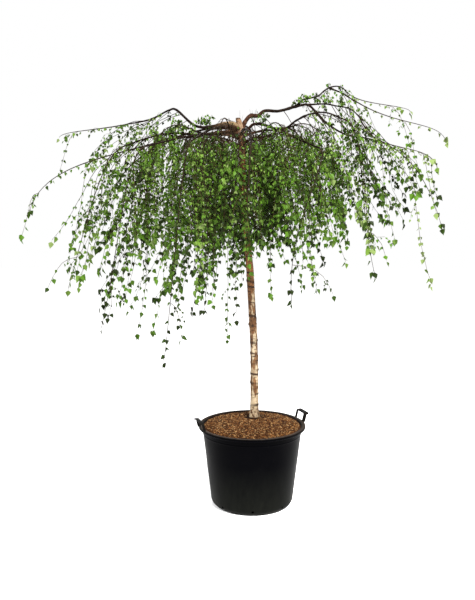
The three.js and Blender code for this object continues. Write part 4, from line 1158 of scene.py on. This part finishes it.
def handle(name, azimuth):
    """A loop handle: a flat strap with a rib round its outside that deepens to a grip along its bar."""
    strap, thickness, rib, grip = (HANDLE[k] for k in ("strap", "thickness", "rib_thickness", "grip"))
    outside = arch_outline(0, 12)
    top = [(x, z) for x, z in outside if z > HANDLE["height"] - 12]
    bar = top + [(x * 0.97, z - rib) for x, z in top[::-1]]
    vertices, faces = [], []
    for points, sides in (
        prism(outside + arch_outline(strap, 6)[::-1], 0, thickness),
        prism(outside + arch_outline(rib, 10)[::-1], thickness - 1, HANDLE["rib"]),
        prism(bar, HANDLE["rib"] - 1, grip),
    ):
        faces += [tuple(len(vertices) + i for i in side) for side in sides]
        vertices += points
    vertices = np.array(vertices)
    vertices[:, 1] += thickness / 2 - HANDLE["seat"] - HANDLE["lean"] * vertices[:, 2]
    vertices[:, 2] += POT["height"]
    mesh = bpy.data.meshes.new(name)
    mesh.from_pydata((turned(vertices, azimuth + 90) * MM).tolist(), [], faces)
    mesh.materials.append(POT_PLASTIC)
    piece = linked(name, mesh)
    bevel = piece.modifiers.new("edges", "BEVEL")
    bevel.width, bevel.segments, bevel.limit_method = 0.9 * MM, 2, "ANGLE"
    paint(piece, "wear_and_highlight", 0.12, 0.3)
    place(piece, "container_plastic", name.replace("grip", "handle"))


def soil_height(r):
    return np.interp(r, [SOIL["plateau"], SOIL["shoulder"], SOIL["edge"]],
                     [SOIL["crown"], SOIL["shoulder_height"], SOIL["edge_height"]])


# Bark chips: how many, how far from the stem's middle, and how near it most of them are dark, as painted
# shadow round the stem's foot.
CHIPS = dict(count=11500, clear=34, dark=62)
BOX = np.array([(x, y, z) for x in (-1, 1) for y in (-1, 1) for z in (-1, 1)], float)
BOX_SIDES = [(0, 1, 3, 2), (4, 6, 7, 5), (0, 4, 5, 1), (2, 3, 7, 6), (0, 2, 6, 4), (1, 5, 7, 3)]


def compost():
    """The compost's rough surface under its bark chips."""
    radii = np.linspace(1, SOIL["edge"] - 1, 70)
    profile = [(r, soil_height(r)) for r in radii] + [(SOIL["edge"] - 8, SOIL["edge_height"] - 30)]
    vertices, faces = lathe(profile, 180)
    vertices[:, 2] += 3.2 * wave(vertices, 0.03, 5) + 2.2 * wave(vertices, 0.11, 6) - 2
    place(mesh_object("compost_surface", vertices, faces[:, ::-1], [crumbs()]), "compost", "soil")


def chip(random):
    """One chip as a box out of true, tilted and turned: its corners."""
    long = 1.5 + 5.5 * random() ** 3
    size = np.array([long, 0.9 + 0.35 * long * random(), 0.6 + 0.7 * random()])
    skew = np.array([[random() for _ in range(3)] for _ in BOX]) - 0.5
    spin, tilt = 360 * random(), math.degrees(0.9 * (random() - 0.5))
    tilted = turned((BOX * size * (1 + 0.5 * skew))[:, [0, 2, 1]], tilt)[:, [0, 2, 1]]
    return turned(tilted, spin)


def bark_chips():
    """Chips and fibres of bark strewn over the compost, darker by the stem as painted shadow round its foot.
    """
    random = seeded(2025)
    bundle = Bundle()
    faces = np.array([face for a, b, c, d in BOX_SIDES for face in ((a, b, c), (a, c, d))])
    while bundle.count < len(BOX) * CHIPS["count"]:
        r = (SOIL["edge"] - 9) * math.sqrt(random())
        x, y, _ = turned(EAST * r, 360 * random())
        from_stem = math.hypot(x - TRUNK[0, 1], y - TRUNK[0, 2])
        if from_stem < CHIPS["clear"]:
            continue
        corners = chip(random) + np.array([x, y, soil_height(r) + 2.5 * (random() - 0.3)])
        # Painted shadow: near the stem most chips take the darkest tone.
        dark = from_stem < CHIPS["dark"] and random() < 0.65
        bundle.add(corners, faces, 5 if dark else min(5, int(6 * random() ** 1.5)))
    chips = bundle.object("bark_chips", plain_materials("chip", CHIP_TONES, 0.9, 0.05), smooth=False)
    place(chips, "compost")


# Camera where the photograph was taken: its place in metres, how far it looks down, and its focal length
# in millimetres, for 709 rows of an image of 600. The floor is the half width in millimetres.
CAMERA = dict(place=(-0.079, -3.760, 1.520), down=6.2, sensor=36.0, lens=36.0 * 709 / 600)
FLOOR = 20000


def add_camera():
    data = bpy.data.cameras.new("camera")
    data.sensor_width, data.lens, data.clip_end = CAMERA["sensor"], CAMERA["lens"], 100
    camera = linked("camera", data)
    camera.location = CAMERA["place"]
    camera.rotation_euler = (math.radians(90 - CAMERA["down"]), 0, 0)
    bpy.context.scene.camera = camera


def add_light(name, place_at, aim, size, power, colour=(1, 1, 1)):
    """A round, soft light that looks at the axis, at the height of its aim."""
    data = bpy.data.lights.new(name, "AREA")
    data.shape, data.size, data.energy, data.color = "DISK", size, power, colour
    light = linked(name, data)
    light.location = place_at
    x, y, z = np.array(place_at) - UP * aim
    light.rotation_euler = (math.acos(z / math.hypot(x, y, z)), 0, math.atan2(y, x) + math.pi / 2)


def add_studio():
    """A plain pale floor, a white surround and soft lights."""
    scene = bpy.context.scene
    scene.view_settings.view_transform = "Standard"
    world = bpy.data.worlds.new("studio")
    world.use_nodes = True
    world.node_tree.nodes["Background"].inputs["Color"].default_value = (1, 1, 1, 1)
    world.node_tree.nodes["Background"].inputs["Strength"].default_value = 1.0
    scene.world = world
    white, floor_shader = shader("floor_white", (0.9, 0.9, 0.9, 1), 0.9, 0.0)
    floor_shader.inputs["Emission Color"].default_value = (1, 1, 1, 1)
    floor_shader.inputs["Emission Strength"].default_value = 0.12
    corners = np.array([(-1, -1, 0), (1, -1, 0), (1, 1, 0), (-1, 1, 0)]) * FLOOR
    mesh_object("studio_floor", corners, np.array([(0, 1, 2), (0, 2, 3)]), [white])
    add_light("key", (1.9, -3.4, 4.6), 1.5, 1.3, 1100, (1, 0.99, 0.97))
    add_light("fill", (-3.2, -2.6, 2.6), 1.4, 2.4, 160, (0.97, 0.98, 1))
    add_light("back", (-0.8, 3.2, 4.2), 1.6, 2.2, 120)


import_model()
LEAF_MATERIALS = plain_materials("leaf_tone", LEAF_TONES, 0.5, 0.05)
TWIG_MATERIALS = [
    shader("twig_fine", linear(36, 27, 14), 0.7, 0.04)[0],
    shader("twig_stout", linear(22, 15, 8), 0.7, 0.04)[0],
]
LIMB_BARK, POT_PLASTIC = limb_bark(), pot_plastic()
LINES = limb_lines()
STRETCHES = limb_stretches(LINES)

add_camera()
add_studio()
container()
handle("grip_right", HANDLE["azimuth"])
handle("grip_left", HANDLE["azimuth"] + 180)
compost()
bark_chips()
stem()
peeling_bark()
for limb_name, limb_line in LINES.items():
    bough(limb_name, limb_line)
for mass in all_masses():
    grown = grow(mass, LINES)
    node = "foliage_" + mass["name"]
    place(grown.leaf_object(STRETCHES), "leaves", node)
    place(grown.twigs.object("twigs_" + mass["name"], TWIG_MATERIALS), "bough_bark", node)
